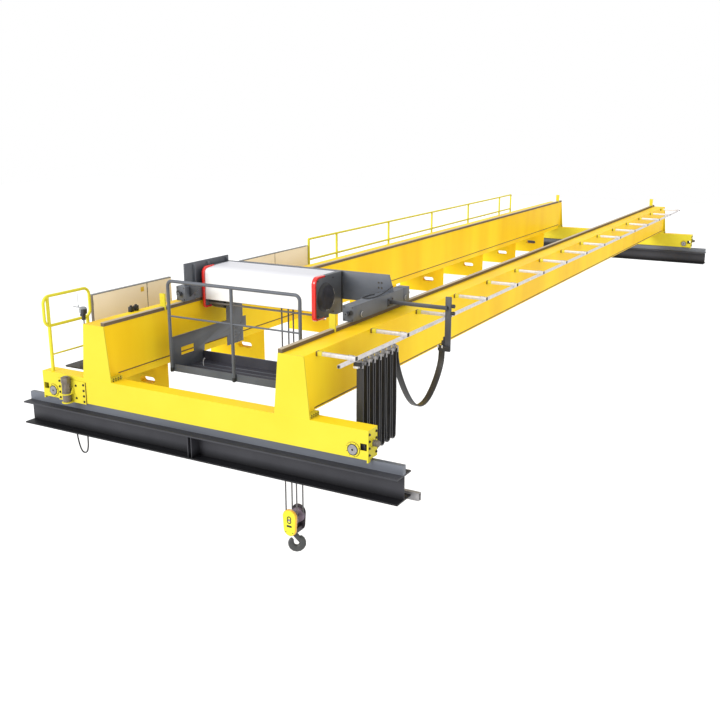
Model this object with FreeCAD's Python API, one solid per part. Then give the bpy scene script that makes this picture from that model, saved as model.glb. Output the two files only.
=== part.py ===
import FreeCAD, Part
import math
import os

# Double-girder overhead travelling crane on two short lengths of runway.
# Frame: millimetres, +X along the runway, +Y along the bridge towards the far
# runway, +Z up. The origin is on the underside of the near runway beam, under the
# middle plane of the bridge.

# --- Runway -----------------------------------------------------------------------
span = 15950.0                 # between the two runway centre lines
runway_left = 2425.0           # beam length to the left of the bridge's middle plane
runway_right = 2460.0          # and to the right of it
beam_height = 263.0
beam_width = 282.0
beam_flange = 16.0
beam_web = 14.0
splice_pitch = 46.0            # between the two stiffeners at the beam's splice
rail_height = 94.0             # square crane rail on the beam
rail_width = 55.0
conductor_width = 45.0         # enclosed conductor rail on the inner side
conductor_height = 80.0
conductor_wall = 4.0
conductor_overhang = 80.0      # past the beam's right end
conductor_gap = 12.0           # from the beam's flange
conductor_mouth = 17.0         # lip each side of the slot below
conductor_hangers = (-2150, -1050, 150, 1150, 2250)
hanger_clip = 50.0             # clip length along the rail

# --- End carriages ------------------------------------------------------------------
carriage_half = 2125.0         # half the carriage's length
carriage_width = 180.0
carriage_height = 295.0
carriage_wall = 10.0
carriage_plate = 15.0          # bolted end plate
carriage_lift = 13.0           # underside above the rail head
wheel_x = 1962.0               # wheels each side of the middle plane
wheel_radius = 96.0
wheel_play = 8.0               # tread wider than the rail
wheel_flange = 12.0
wheel_lip = 14.0               # flange radius past the tread
axle_radius = 30.0
running_fit = 0.06
seat_gap = 0.3
cap_radius = 49.0
cap_ring = 63.0
cap_step = 10.0
window_start = 76.0            # side window, from the wheel centre
window_length = 74.0
window_height = 70.0
buffer_radius = 32.0
buffer_length = 72.0
buffer_z = 520.0

# --- Main girders -------------------------------------------------------------------
girder_inner = 1130.0          # inner web face, from the middle plane
girder_width = 295.0
girder_bottom = 709.0
girder_top = 1286.0
girder_web = 8.0
girder_flange = 12.0
keel_depth = 69.0              # strip under the inner web
keel_thickness = 9.0
foot_flare = 58.0              # the end plates widen this much each side
end_plate = 12.0
trolley_rail_width = 50.0
trolley_rail_height = 40.0
trolley_rail_inset = 20.0      # rail centre from the inner web face
stop_near = 905.0              # end stops along the span
stop_far = 15750.0
stop_plate = 20.0
stop_width = 74.0
stop_height = 194.0

# --- Walkway along the left girder ----------------------------------------------------
walkway_edge = 2065.0          # outer edge, from the middle plane
walkway_top = 665.0
walkway_plate = 20.0
walkway_gap = 113.0            # from the near carriage's side
bracket_first = 917.0
bracket_pitch = 1980.0
bracket_count = 8
bracket_bottom = 155.0
bracket_plate = 12.0
bracket_hole_x = 1465.0
bracket_hole_z = 395.0
bracket_hole_width = 230.0
bracket_hole_height = 74.0
bracket_collar = 80.0
bracket_collar_wall = 8.0
rail_line = 2000.0             # handrails and panels, from the middle plane
handrail_radius = 17.5
handrail_post_radius = 20.0
handrail_knee_radius = 10.0
handrail_top = 1527.0
handrail_middle = 1195.0
handrail_low = 855.0
handrail_posts = (5419.0, 6301.0, 8206.0, 10111.0, 12016.0, 13921.0, 14681.0)
guard_start = -105.0
guard_end = 590.0
guard_bottom = 1188.0
guard_bend = 85.0
guard_post_near = -42.0
guard_post_far = 540.0
panel_thickness = 45.0
panel_top = 1430.0
panel_gap = 6.0
panel_groups = ((645.0, (943.0, 461.0)), (3600.0, (853.0, 940.0)))

# --- Warning post beside the left girder ------------------------------------------------
post_x = 1447.0
post_y = -50.0
post_arm_z = 1215.0
post_radius = 9.0
lamp_radius = 22.0
lamp_z = (1322.0, 1365.0)
siren_radius = 42.0
siren_z = (1395.0, 1467.0)
aerial_x = 1516.0
aerial_foot = 1455.0
aerial_top = 1612.0
aerial_radius = 4.0
aerial_bar = 1590.0            # outer end of the aerial's small crossbar

# --- Guide roller on the near carriage ---------------------------------------------------
guide_x = 1700.0
guide_radius = 46.0
guide_height = 80.0
guide_low = 376.0              # underside of the roller
guide_plate = 12.0
guide_gap = 3.0                # roller to the plates above and below it
guide_back = 10.0
guide_back_left = 1880.0
guide_back_right = 1460.0
guide_back_top = 615.0
guide_pin_radius = 16.0
guide_hub_radius = 40.0
guide_hub_height = 118.0
guide_nut_radius = 58.0
guide_nut_height = 76.0

# --- Festoon ---------------------------------------------------------------------------------
arm_first = 153.0
arm_pitch = 1100.0
arm_count = 15
arm_size = 36.0
arm_stub = 46.0
arm_stub_length = 66.0
arm_end = 1868.0
arm_z = 1266.0
track_x = 1800.0
track_width = 28.0
track_height = 32.0
track_wall = 3.0
track_slot = 11.0
track_start = -75.0
carrier_first = 315.0
carrier_pitch = 124.0
carrier_count = 7              # the first one is fixed
carrier_width = 88.0
carrier_length = 80.0
carrier_height = 74.0
cable_width = 76.0
cable_thickness = 16.0
loop_depth = 920.0             # cable loops below the carriers
loop_inset = 22.0              # cable ends each side of a carrier's middle
collector_x = -1870.0

# --- Trolley ------------------------------------------------------------------------------------
trolley_near = 1236.0          # near end of the wheel beams
trolley_far = 2573.0
trolley_beam_width = 130.0
trolley_beam_height = 170.0
trolley_beam_lift = 13.0       # above the trolley rail
trolley_beam_wall = 10.0
trolley_wheel_y = (1412.0, 2472.0)
trolley_wheel_radius = 66.0
trolley_wheel_play = 8.0       # tread wider than the rail
trolley_wheel_flange = 10.0
trolley_wheel_lip = 12.0
trolley_axle_radius = 20.0
trolley_cap_radius = 38.0
trolley_buffer_length = 60.0
trolley_buffer_radius = 24.0
rear_beam_y = 2170.0           # front face of the rear cross beam
rear_beam_depth = 160.0
rear_beam_plate = 16.0
rear_beam_bottom = 1360.0
rear_beam_top = 1695.0
rear_beam_taper = 56.0         # the front plate's top corners lean in this much
side_plate_thickness = 20.0
side_plate_near = 1310.0
side_plate_top = 1768.0
side_plate_x = 1150.0
side_rib_y = (1460.0, 1730.0, 2110.0)
side_rib_depth = 34.0
side_rib_plate = 12.0

# --- Hoist ----------------------------------------------------------------------------------------
hoist_left = -1053.0           # white cover along X
hoist_right = 486.0
hoist_near = 1548.0            # the end bands' outline along Y and Z
hoist_far = 2150.0
hoist_bottom = 1200.0
hoist_top = 1708.0
hoist_corner = 90.0            # radius of the outline's front top edge
hoist_toe = 40.0               # and of its front bottom edge
cover_set_back = 28.0          # cover behind the bands' front
cover_drop = 3.0               # and below their top
cover_wall = 4.0
cover_skirt = 1306.0           # lower edge of the cover's front
cover_back_skirt = 1540.0      # lower edge of the cover's back
trim_left = 30.0
trim_right = 52.0
trim_depth = 220.0             # band along Y, from the front
trim_wall = 24.0
cap_right = 58.0
cap_shoulder = 4.0             # cap below the band's top, behind the band
disc_y = 1757.0                # round boss on the right end cap
disc_z = 1453.0
disc_radius = 172.0
disc_face = 146.0
disc_height = 34.0
gear_y = 1830.0                # round gear case beside the left end cap
gear_z = 1400.0
gear_radius = 235.0
gear_right = -890.0
drum_left = -850.0
drum_z = 1425.0
drum_radius = 150.0
tie_rod_radius = 12.0
tie_rod_y = 1612.0
tie_rod_z = 1262.0

# --- Ropes, block and hook ---------------------------------------------------------------------------
hook_x = 40.0
hook_y = 1790.0
rope_pitch = 162.0             # sheave diameter at the rope's centre
sheave_spread = 140.0          # between the two sheaves
rope_radius = 8.0
sheave_radius = 95.0
sheave_width = 34.0
block_axle_z = -1417.0
block_top = -1278.0
block_bottom = -1634.0
block_width = 202.0
block_plate = 14.0
block_cover = 38.0             # the near side plate's domed cover
block_axle_radius = 22.0
hook_shank_radius = 26.0
hook_bowl_x = 62.0
hook_bowl_z = -1772.0
hook_outer = 128.0
hook_inner = 52.0
hook_thickness = 62.0
hook_heading = 29.0            # degrees the hook is turned about its shank

# --- Maintenance platform -----------------------------------------------------------------------------
platform_near = 700.0
platform_far = 1250.0
platform_half = 880.0          # half its width
platform_x = 12.0              # its middle, from the crane's middle plane
platform_bottom = 635.0
platform_lip_near = 720.0
platform_lip_far = 760.0
platform_plate = 6.0
platform_rail_radius = 19.0
platform_rail_top = 1690.0
platform_mid_rail = 1288.0
platform_mid_radius = 10.0
platform_bend = 60.0
hanger_arm = (837.0, 1032.0)   # lower and upper edge of the arm along the bridge
hanger_riser = (1735.0, 2060.0)
hanger_bottom = 710.0
hanger_crown = 1300.0          # riser's top, under the hoist
hanger_tail = (1372.0, 1450.0)
hanger_plate = 10.0
hanger_slot_y = (855.0, 1090.0)
hanger_slot_z = (788.0, 884.0)
hanger_hole_rows = (1893.0, 2003.0)
hanger_hole_first = 728.0
hanger_hole_pitch = 44.0
hanger_hole_count = 6
hanger_hole_radius = 6.5
hanger_ear_y = 2126.0          # small ear on the riser's far edge
hanger_ear_z = (880.0, 1020.0)

# --- Tow arm -----------------------------------------------------------------------------------------------
tow_y = 2080.0
tow_z = 1408.0
tow_size = 40.0
tow_post_x = 1935.0
tow_post_width = 70.0
tow_post_depth = 24.0
tow_post_top = 1530.0
tow_post_bottom = 905.0
tow_clamp_x = 1865.0           # middle of the cable at the clamp

# --- Sizes that follow ------------------------------------------------------------------------------------------
rail_top = beam_height + rail_height
wheel_tread = rail_width + wheel_play
trolley_wheel_tread = trolley_rail_width + trolley_wheel_play
wheel_z = rail_top + seat_gap + wheel_radius
carriage_bottom = rail_top + carriage_lift
carriage_top = carriage_bottom + carriage_height
carriage_side = carriage_width / 2
girder_outer = girder_inner + girder_width
trolley_rail_x = girder_inner + trolley_rail_inset
trolley_rail_top = girder_top + trolley_rail_height
trolley_beam_bottom = trolley_rail_top + trolley_beam_lift
trolley_beam_top = trolley_beam_bottom + trolley_beam_height
trolley_wheel_z = trolley_rail_top + seat_gap + trolley_wheel_radius
beam_outer_x = trolley_rail_x + trolley_beam_width / 2
beam_inner_x = trolley_rail_x - trolley_beam_width / 2
carriages = {"near": 0.0, "far": span}
sides = {"left": -1, "right": 1}
arms = [arm_first + arm_pitch * k for k in range(arm_count)]
track_top = arm_z - arm_size / 2
track_bottom = track_top - track_height
carriers = [carrier_first + carrier_pitch * k for k in range(carrier_count)]
drum_y = hook_y
rope_edge = sheave_spread / 2 - rope_radius
rope_top = drum_z - math.sqrt(drum_radius ** 2 - rope_edge ** 2) - seat_gap
falls = [
    (hook_x + a * rope_pitch / 2, hook_y + b * sheave_spread / 2)
    for b in (-1, 1)
    for a in (-1, 1)
]


# --- Helpers ---------------------------------------------------------------------------------------------------------
def box(x, y, z):
    """A block between the two X, the two Y and the two Z values."""
    (x0, x1), (y0, y1), (z0, z1) = sorted(x), sorted(y), sorted(z)
    return Part.makeBox(x1 - x0, y1 - y0, z1 - z0, FreeCAD.Vector(x0, y0, z0))


def rod(start, end, radius):
    """A round bar from one point to another."""
    a, b = FreeCAD.Vector(*start), FreeCAD.Vector(*end)
    return Part.makeCylinder(radius, (b - a).Length, a, b - a)


def join(shapes):
    """One solid out of shapes that overlap or meet."""
    shapes = list(shapes)
    return shapes[0].fuse(shapes[1:]).removeSplitter() if len(shapes) > 1 else shapes[0]


def prism(points, along):
    """A flat outline, pushed along a vector."""
    wire = Part.makePolygon([FreeCAD.Vector(*p) for p in points + points[:1]])
    return Part.Face(wire).extrude(FreeCAD.Vector(*along))


def slot_xz(y, centre_x, centre_z, width, height):
    """A round-ended outline's solid across Y, wider along X."""
    run = (width - height) / 2
    ends = [
        rod((centre_x + s * run, y[0], centre_z), (centre_x + s * run, y[1], centre_z), height / 2)
        for s in (-1, 1)
    ]
    middle = box((centre_x - run, centre_x + run), y, (centre_z - height / 2, centre_z + height / 2))
    return join(ends + [middle])


def bent_tube(points, radius, bend):
    """A tube along straight runs with equal tangent bends, open at both ends."""
    return sweep_round(path_with_bends(points, [bend] * (len(points) - 2)), radius)


def path_with_bends(points, bends):
    """A wire of straight runs joined by tangent arcs of the given radii."""
    points = [FreeCAD.Vector(*p) for p in points]
    edges = []
    start = points[0]
    for k, bend in enumerate(bends):
        corner = points[k + 1]
        before = (corner - points[k]).normalize()
        after = (points[k + 2] - corner).normalize()
        half_turn = before.getAngle(after) / 2
        setback = bend * math.tan(half_turn)
        a = corner - before * setback
        b = corner + after * setback
        inward = (after - before).normalize()
        centre = corner + inward * (bend / math.cos(half_turn))
        middle = centre - inward * bend
        edges.append(Part.LineSegment(start, a).toShape())
        edges.append(Part.Arc(a, middle, b).toShape())
        start = b
    edges.append(Part.LineSegment(start, points[-1]).toShape())
    return Part.Wire(edges)


def sweep_round(wire, radius):
    """A round section along a wire."""
    first = wire.Edges[0]
    start = first.valueAt(first.FirstParameter)
    along = first.tangentAt(first.FirstParameter)
    ring = Part.Wire(Part.makeCircle(radius, start, along))
    return wire.makePipeShell([ring], True, False)


def ribbon(points, width, thickness):
    """A flat cable in an upright plane: its centre line, thickened and widened."""
    wire = path_with_bends(points, cord_bends(points))
    first = wire.Edges[0]
    start = first.valueAt(first.FirstParameter)
    along = first.tangentAt(first.FirstParameter)
    run = FreeCAD.Vector(*points[-1]) - FreeCAD.Vector(*points[0])
    side = run.cross(FreeCAD.Vector(0, 0, 1)).normalize()
    across = along.cross(side)
    corners = [
        start + side * (a * width / 2) + across * (b * thickness / 2)
        for a, b in ((-1, -1), (1, -1), (1, 1), (-1, 1))
    ]
    outline = Part.makePolygon(corners + corners[:1])
    return wire.makePipeShell([outline], True, False)


def cord_bends(points):
    """Arc radii for a cord's route: 0.45 of the shorter run over the tangent of half the turn."""
    points = [FreeCAD.Vector(*p) for p in points]
    radii = []
    for before, here, after in zip(points, points[1:], points[2:]):
        turn = (here - before).getAngle(after - here)
        run = min((here - before).Length, (after - here).Length)
        radii.append(0.45 * run / math.tan(turn / 2))
    return radii


# --- Runway ----------------------------------------------------------------------------------------------------------------
def runway_beam(y):
    ends = (-runway_left, runway_right)
    half = beam_width / 2
    splice = (runway_right - runway_left) / 2
    parts = [
        box(ends, (y - half, y + half), (0, beam_flange)),
        box(ends, (y - half, y + half), (beam_height - beam_flange, beam_height)),
        box(ends, (y - beam_web / 2, y + beam_web / 2), (0, beam_height)),
    ]
    for s in (-1, 1):
        x = splice + s * splice_pitch / 2
        parts.append(box((x - 5, x + 5), (y - half + 8, y + half - 8), (0, beam_height)))
    return join(parts)


def runway_rail(y):
    return box(
        (-runway_left, runway_right),
        (y - rail_width / 2, y + rail_width / 2),
        (beam_height, rail_top),
    )


def conductor_rail():
    """A galvanised box rail on hangers clamped to the near beam's inner flange."""
    y0 = beam_width / 2 + conductor_gap
    y1 = y0 + conductor_width
    z0, z1 = -conductor_height / 2 - 5, conductor_height / 2 - 5
    w = conductor_wall
    ends = (-runway_left + 40, runway_right + conductor_overhang)
    rail = box(ends, (y0, y1), (z0, z1))
    rail = rail.cut(box(ends, (y0 + w, y1 - w), (z0 + w, z1 - w)))
    mouth = (y0 + conductor_mouth, y1 - conductor_mouth)
    rail = rail.cut(box(ends, mouth, (z0 - 1, z0 + w + 1)))
    pieces = [rail]
    for x in conductor_hangers:
        clip = (x - hanger_clip / 2, x + hanger_clip / 2)
        pieces.append(box(clip, (y0 - 45, y0 + 6), (beam_flange, beam_flange + 8)))
        pieces.append(box(clip, (y0 - 3, y0), (z0 + 10, beam_flange + 8)))
    return join(pieces)


# --- Bridge ---------------------------------------------------------------------------------------------------------------------
def end_carriage(y):
    """A hollow box, open at both ends, with wheel slots below and axle bores through its sides."""
    w = carriage_wall
    run = carriage_half - carriage_plate
    side = (y - carriage_side, y + carriage_side)
    body = box((-run, run), side, (carriage_bottom, carriage_top))
    body = body.cut(
        box((-run, run), (side[0] + w, side[1] - w), (carriage_bottom + w, carriage_top - w))
    )
    slot_half = wheel_radius + wheel_lip + 12
    flange_y = wheel_tread / 2 + wheel_flange + 6
    for s in (-1, 1):
        x = s * wheel_x
        slot = box((x - slot_half, x + slot_half), (y - flange_y, y + flange_y),
                   (carriage_bottom - 1, carriage_bottom + w + 1))
        bore = rod((x, side[0] - 1, wheel_z), (x, side[1] + 1, wheel_z), axle_radius + running_fit)
        start = s * (wheel_x + window_start)
        window = box((start, start + s * window_length), (side[0] - 1, side[1] + 1),
                     (wheel_z + 6, wheel_z + 6 + window_height))
        body = body.cut(slot).cut(bore).cut(window)
    return body


def carriage_end_plate(y, s):
    """The bolted plate that closes a carriage, with a lug that sweeps the rail."""
    x = (s * (carriage_half - carriage_plate), s * carriage_half)
    plate = box(x, (y - carriage_side, y + carriage_side), (carriage_bottom, carriage_top))
    lug = box(x, (y - carriage_side, y - carriage_side + 45), (rail_top - 14, carriage_bottom + 1))
    return join([plate, lug])


def carriage_buffer(y, s):
    x = s * carriage_half
    body = rod((x, y, buffer_z), (x + s * buffer_length, y, buffer_z), buffer_radius)
    flange = rod((x, y, buffer_z), (x + s * 10, y, buffer_z), buffer_radius + 12)
    return join([flange, body])


def runway_wheel(x, y):
    """A double-flanged wheel with its axle."""
    half = wheel_tread / 2
    out = half + wheel_flange
    reach = carriage_side - seat_gap
    z = wheel_z
    parts = [rod((x, y - out, z), (x, y + out, z), wheel_radius)]
    for s in (-1, 1):
        parts.append(rod((x, y + s * half, z), (x, y + s * out, z), wheel_radius + wheel_lip))
    parts.append(rod((x, y - reach, z), (x, y + reach, z), axle_radius))
    return join(parts)


def bearing_cap(x, y, s, z, cap, ring, step, face):
    """A flange ring and a round cap over an axle's end, on a face across Y or X."""
    if face == "y":
        a = rod((x, y, z), (x, y + s * step, z), ring)
        b = rod((x, y, z), (x, y + s * step * 1.9, z), cap)
    else:
        a = rod((x, y, z), (x + s * step, y, z), ring)
        b = rod((x, y, z), (x + s * step * 1.9, y, z), cap)
    return join([a, b])


def girder(s):
    """A box girder, open at its ends where the end plates close it, on a strip under its inner web."""
    inner, outer = s * girder_inner, s * girder_outer
    run = (-carriage_side + end_plate, span + carriage_side - end_plate)
    body = box((inner, outer), run, (girder_bottom, girder_top))
    hollow = box(
        (inner + s * girder_web, outer - s * girder_web),
        run,
        (girder_bottom + girder_flange, girder_top - girder_flange),
    )
    keel = box((inner, inner + s * keel_thickness), (carriage_side + 2, span - carriage_side - 2),
               (girder_bottom - keel_depth, girder_bottom))
    return join([body.cut(hollow), keel])


def girder_end(s, y, out):
    """A flared end plate and the foot that stands on the carriage. out points away from the span."""
    inner, outer = girder_inner, girder_outer
    face = y + out * carriage_side
    flared = [
        (s * (inner - foot_flare), face, carriage_top),
        (s * (outer + foot_flare), face, carriage_top),
        (s * outer, face, girder_top),
        (s * inner, face, girder_top),
    ]
    plate = prism(flared, (0, -out * end_plate, 0))
    foot = box(
        (s * (inner - foot_flare), s * (outer + foot_flare)),
        (face - out * end_plate, face - out * carriage_width),
        (carriage_top, girder_bottom),
    )
    return join([plate, foot])


def trolley_rail(s):
    half = trolley_rail_width / 2
    x = s * trolley_rail_x
    run = (-carriage_side + end_plate, span + carriage_side - end_plate)
    return box((x - half, x + half), run, (girder_top, trolley_rail_top))


def end_stop(s, y):
    """A stop plate that straddles the trolley rail."""
    x = s * trolley_rail_x
    plate = box(
        (x - stop_width / 2, x + stop_width / 2),
        (y - stop_plate / 2, y + stop_plate / 2),
        (girder_top, girder_top + stop_height),
    )
    half = trolley_rail_width / 2
    notch = box((x - half, x + half), (y - stop_plate, y + stop_plate), (girder_top, trolley_rail_top))
    return plate.cut(notch)


def walkway_floor():
    end = bracket_first + bracket_pitch * (bracket_count - 1) + 20
    return box((-walkway_edge, -girder_outer), (carriage_side + walkway_gap, end),
               (walkway_top - walkway_plate, walkway_top))


def walkway_bracket(y):
    """A plate under the girder and the walkway, with a flanged round-ended hole."""
    face = (y - bracket_plate / 2, y + bracket_plate / 2)
    out = box((-walkway_edge, -girder_inner - 10), face, (bracket_bottom, walkway_top - walkway_plate))
    up = box((-girder_outer + 0.5, -girder_inner - 10), face, (walkway_top - walkway_plate, girder_bottom))
    wall = bracket_collar_wall
    deep = (face[0], face[1] + bracket_collar)
    collar = slot_xz(deep, -bracket_hole_x, bracket_hole_z,
                     bracket_hole_width + 2 * wall, bracket_hole_height + 2 * wall)
    hole = slot_xz((deep[0] - 1, deep[1] + 1), -bracket_hole_x, bracket_hole_z,
                   bracket_hole_width, bracket_hole_height)
    return join([out, up, collar]).cut(hole)


def walkway_handrail():
    x = -rail_line
    first, last = handrail_posts[0], handrail_posts[-1]
    bars = [
        rod((x, first, z), (x, last, z), handrail_radius)
        for z in (handrail_low, handrail_middle, handrail_top)
    ]
    posts = [rod((x, y, walkway_top), (x, y, handrail_top), handrail_post_radius) for y in handrail_posts]
    return join(posts + bars)


def walkway_guard():
    """The tube loop and its posts at the walkway's near end."""
    x = -rail_line
    middle = (guard_start + guard_end) / 2
    top, low = handrail_top, guard_bottom
    corners = [
        (x, middle, top), (x, guard_end, top), (x, guard_end, low),
        (x, guard_start, low), (x, guard_start, top), (x, middle, top),
    ]
    loop = bent_tube(corners, handrail_radius, guard_bend)
    near = rod((x, guard_post_near, carriage_top), (x, guard_post_near, top), handrail_post_radius)
    far = rod((x, guard_post_far, walkway_top), (x, guard_post_far, low), handrail_post_radius)
    knee = rod((x, guard_post_near, handrail_low), (x, guard_post_far, handrail_low), handrail_knee_radius)
    return join([near, far, knee, loop])


def electrical_panels():
    panels = []
    for start, widths in panel_groups:
        y = start
        for width in widths:
            panels.append(box((-rail_line - panel_thickness, -rail_line),
                              (y, y + width - panel_gap), (walkway_top, panel_top)))
            y += width
    return Part.makeCompound(panels)


def warning_post():
    """A lamp, a siren and a radio aerial on a small arm from the left girder's outer web."""
    x, y = -post_x, post_y
    arm = box((x - 14, -girder_outer), (y - 14, y + 14), (post_arm_z - 8, post_arm_z + 8))
    plate = box((-girder_outer - 6, -girder_outer), (y - 24, y + 24), (post_arm_z - 40, post_arm_z + 40))
    return join([
        arm,
        plate,
        rod((x, y, post_arm_z), (x, y, siren_z[1]), post_radius),
        rod((x, y, lamp_z[0]), (x, y, lamp_z[1]), lamp_radius),
        rod((x, y, siren_z[0]), (x, y, siren_z[1]), siren_radius),
        rod((x, y, aerial_foot), (-aerial_bar, y, aerial_foot), aerial_radius + 2),
        rod((-aerial_x, y, aerial_foot), (-aerial_x, y, aerial_top), aerial_radius),
    ])


guide_y = -(carriage_side + guide_back + guide_radius + 4)
guide_top = guide_low + guide_height


def guide_bracket():
    """The bolted bracket on the carriage's face that holds the guide roller between two plates."""
    x = -guide_x
    face = -carriage_side
    front = face - guide_back
    back = box((-guide_back_left, -guide_back_right), (front, face),
               (carriage_bottom - guide_plate, guide_back_top))
    upper = guide_top + guide_gap
    lower = guide_low - guide_gap - guide_plate
    pieces = [back]
    for z in (lower, upper):
        level = (z, z + guide_plate)
        pieces.append(rod((x, guide_y, level[0]), (x, guide_y, level[1]), guide_radius + 12))
        pieces.append(box((x - guide_radius - 12, x + guide_radius + 12), (guide_y, front), level))
    hub_z = upper + guide_plate
    nut_z = hub_z + guide_hub_height
    pieces.append(rod((x, guide_y, hub_z), (x, guide_y, nut_z), guide_hub_radius))
    pieces.append(rod((x, guide_y, nut_z), (x, guide_y, nut_z + guide_nut_height), guide_nut_radius))
    bore = rod((x, guide_y, lower - 1), (x, guide_y, hub_z + 30), guide_pin_radius + running_fit)
    return join(pieces).cut(bore)


def guide_roller():
    x = -guide_x
    wheel = rod((x, guide_y, guide_low), (x, guide_y, guide_top), guide_radius)
    reach = guide_gap + guide_plate
    pin = rod((x, guide_y, guide_low - reach), (x, guide_y, guide_top + reach + 25), guide_pin_radius)
    return join([wheel, pin])


def festoon_arm(y):
    """A square bar in a wider welded socket on the right girder's web."""
    half = arm_size / 2
    wide = arm_stub / 2
    bar = box((girder_outer, arm_end), (y - half, y + half), (arm_z - half, arm_z + half))
    socket = box((girder_outer, girder_outer + arm_stub_length), (y - wide, y + wide),
                 (arm_z - wide, arm_z + wide))
    return join([bar, socket])


def festoon_track():
    """A C-shaped rail, open along its underside."""
    half = track_width / 2
    run = (track_start, arms[-1] + arm_size)
    outer = box((track_x - half, track_x + half), run, (track_bottom, track_top))
    inner = box((track_x - half + track_wall, track_x + half - track_wall), run,
                (track_bottom + track_wall, track_top - track_wall))
    slot = box((track_x - track_slot / 2, track_x + track_slot / 2), run,
               (track_bottom - 1, track_bottom + track_wall + 1))
    return outer.cut(inner).cut(slot)


saddle_top = track_bottom - 16.0
saddle_bottom = saddle_top - carrier_height


def carrier(y, moving):
    """A cable saddle under the track, on a neck and a runner block inside the rail."""
    half = carrier_length / 2
    saddle = box((track_x - carrier_width / 2, track_x + carrier_width / 2),
                 (y - half, y + half), (saddle_bottom, saddle_top))
    neck_half = track_slot / 2 - 2.5 if moving else track_slot / 2
    neck = box((track_x - neck_half, track_x + neck_half), (y - 22, y + 22),
               (saddle_top, track_top - track_wall - 9))
    block_half = track_width / 2 - track_wall - (0.3 if moving else 0)
    low = track_bottom + track_wall + (0.3 if moving else 0)
    runner = box((track_x - block_half, track_x + block_half), (y - 30, y + 30),
                 (low, track_top - track_wall - 5))
    return join([saddle, neck, runner])


# --- Trolley --------------------------------------------------------------------------------------------------------------------
def trolley_beam(s):
    """A wheel beam: a box, closed at its ends and open below, with axle bores."""
    w = trolley_beam_wall
    x = (s * beam_inner_x, s * beam_outer_x)
    inside = (s * (beam_inner_x + w), s * (beam_outer_x - w))
    body = box(x, (trolley_near, trolley_far), (trolley_beam_bottom, trolley_beam_top))
    body = body.cut(box(inside, (trolley_near + w, trolley_far - w),
                        (trolley_beam_bottom - 1, trolley_beam_top - w)))
    for y in trolley_wheel_y:
        body = body.cut(rod((s * (beam_inner_x - 1), y, trolley_wheel_z),
                            (s * (beam_outer_x + 1), y, trolley_wheel_z),
                            trolley_axle_radius + running_fit))
    mid_z = (trolley_beam_bottom + trolley_beam_top) / 2
    for y, out in ((trolley_near, -1), (trolley_far, 1)):
        body = join([
            body,
            rod((s * trolley_rail_x, y, mid_z), (s * trolley_rail_x, y + out * trolley_buffer_length, mid_z),
                trolley_buffer_radius),
        ])
    caps = [
        bearing_cap(s * beam_outer_x, y, s, trolley_wheel_z, 26, trolley_cap_radius, 8, "x")
        for y in trolley_wheel_y
    ]
    return join([body] + caps)


def trolley_wheel(s, y):
    x = s * trolley_rail_x
    half = trolley_wheel_tread / 2
    out = half + trolley_wheel_flange
    z = trolley_wheel_z
    parts = [rod((x - out, y, z), (x + out, y, z), trolley_wheel_radius)]
    for t in (-1, 1):
        parts.append(rod((x + t * half, y, z), (x + t * out, y, z),
                         trolley_wheel_radius + trolley_wheel_lip))
    reach = trolley_beam_width / 2
    parts.append(rod((x - s * (reach - 1), y, z), (x + s * (reach - seat_gap), y, z), trolley_axle_radius))
    return join(parts)


def rear_beam():
    """The beam behind the hoist: a wide front plate that stands on the wheel beams, and a box."""
    y = rear_beam_y
    outline = [
        (-beam_inner_x, y, rear_beam_bottom),
        (beam_inner_x, y, rear_beam_bottom),
        (beam_inner_x, y, trolley_beam_top),
        (beam_outer_x, y, trolley_beam_top),
        (beam_outer_x - rear_beam_taper, y, rear_beam_top),
        (-beam_outer_x + rear_beam_taper, y, rear_beam_top),
        (-beam_outer_x, y, trolley_beam_top),
        (-beam_inner_x, y, trolley_beam_top),
    ]
    plate = prism(outline, (0, rear_beam_plate, 0))
    body = box((-beam_inner_x, beam_inner_x), (y, y + rear_beam_depth),
               (rear_beam_bottom + 30, rear_beam_top - 20))
    return join([plate, body])


def side_plate():
    """The tall plate with a channel edge on the left wheel beam."""
    x = -side_plate_x
    t = side_plate_thickness
    plate = box((x - t / 2, x + t / 2), (side_plate_near, rear_beam_y), (trolley_beam_top, side_plate_top))
    ribs = [
        box((x + t / 2, x + t / 2 + side_rib_depth), (y, y + side_rib_plate),
            (trolley_beam_top, side_plate_top - t))
        for y in side_rib_y
    ]
    return join([plate] + ribs)


def housing_profile(x, length, inset=0.0, top=0.0):
    """The housing's section with its front edges rounded, as a solid along X. inset is from the
    bands' outline, and top lowers the upper face instead of the inset where it is given."""
    y0, y1 = hoist_near + inset, hoist_far - inset
    z0, z1 = hoist_bottom + inset, hoist_top - (top or inset)
    body = box((x, x + length), (y0, y1), (z0, z1))
    for z, radius in ((z1, hoist_corner - inset / 2), (z0, hoist_toe - inset / 2)):
        edges = [
            e for e in body.Edges
            if e.Length > length - 1 and abs(e.BoundBox.YMin - y0) < 1 and abs(e.BoundBox.ZMin - z) < 1
            and abs(e.Vertexes[0].X - e.Vertexes[-1].X) > length - 1
        ]
        body = body.makeFillet(radius, edges)
    return body


def hoist_cover():
    """The white cover: an open-bottomed shell."""
    length = hoist_right - hoist_left
    outer = housing_profile(hoist_left, length, cover_set_back, cover_drop)
    inner = housing_profile(hoist_left, length, cover_set_back + cover_wall, cover_drop + cover_wall)
    across = (hoist_left - 1, hoist_right + 1)
    below = box(across, (hoist_near - 1, hoist_far + 1), (hoist_bottom - 1, cover_skirt))
    behind = box(across, (drum_y, hoist_far + 1), (hoist_bottom - 1, cover_back_skirt))
    return outer.cut(inner).cut(below).cut(behind)


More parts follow.
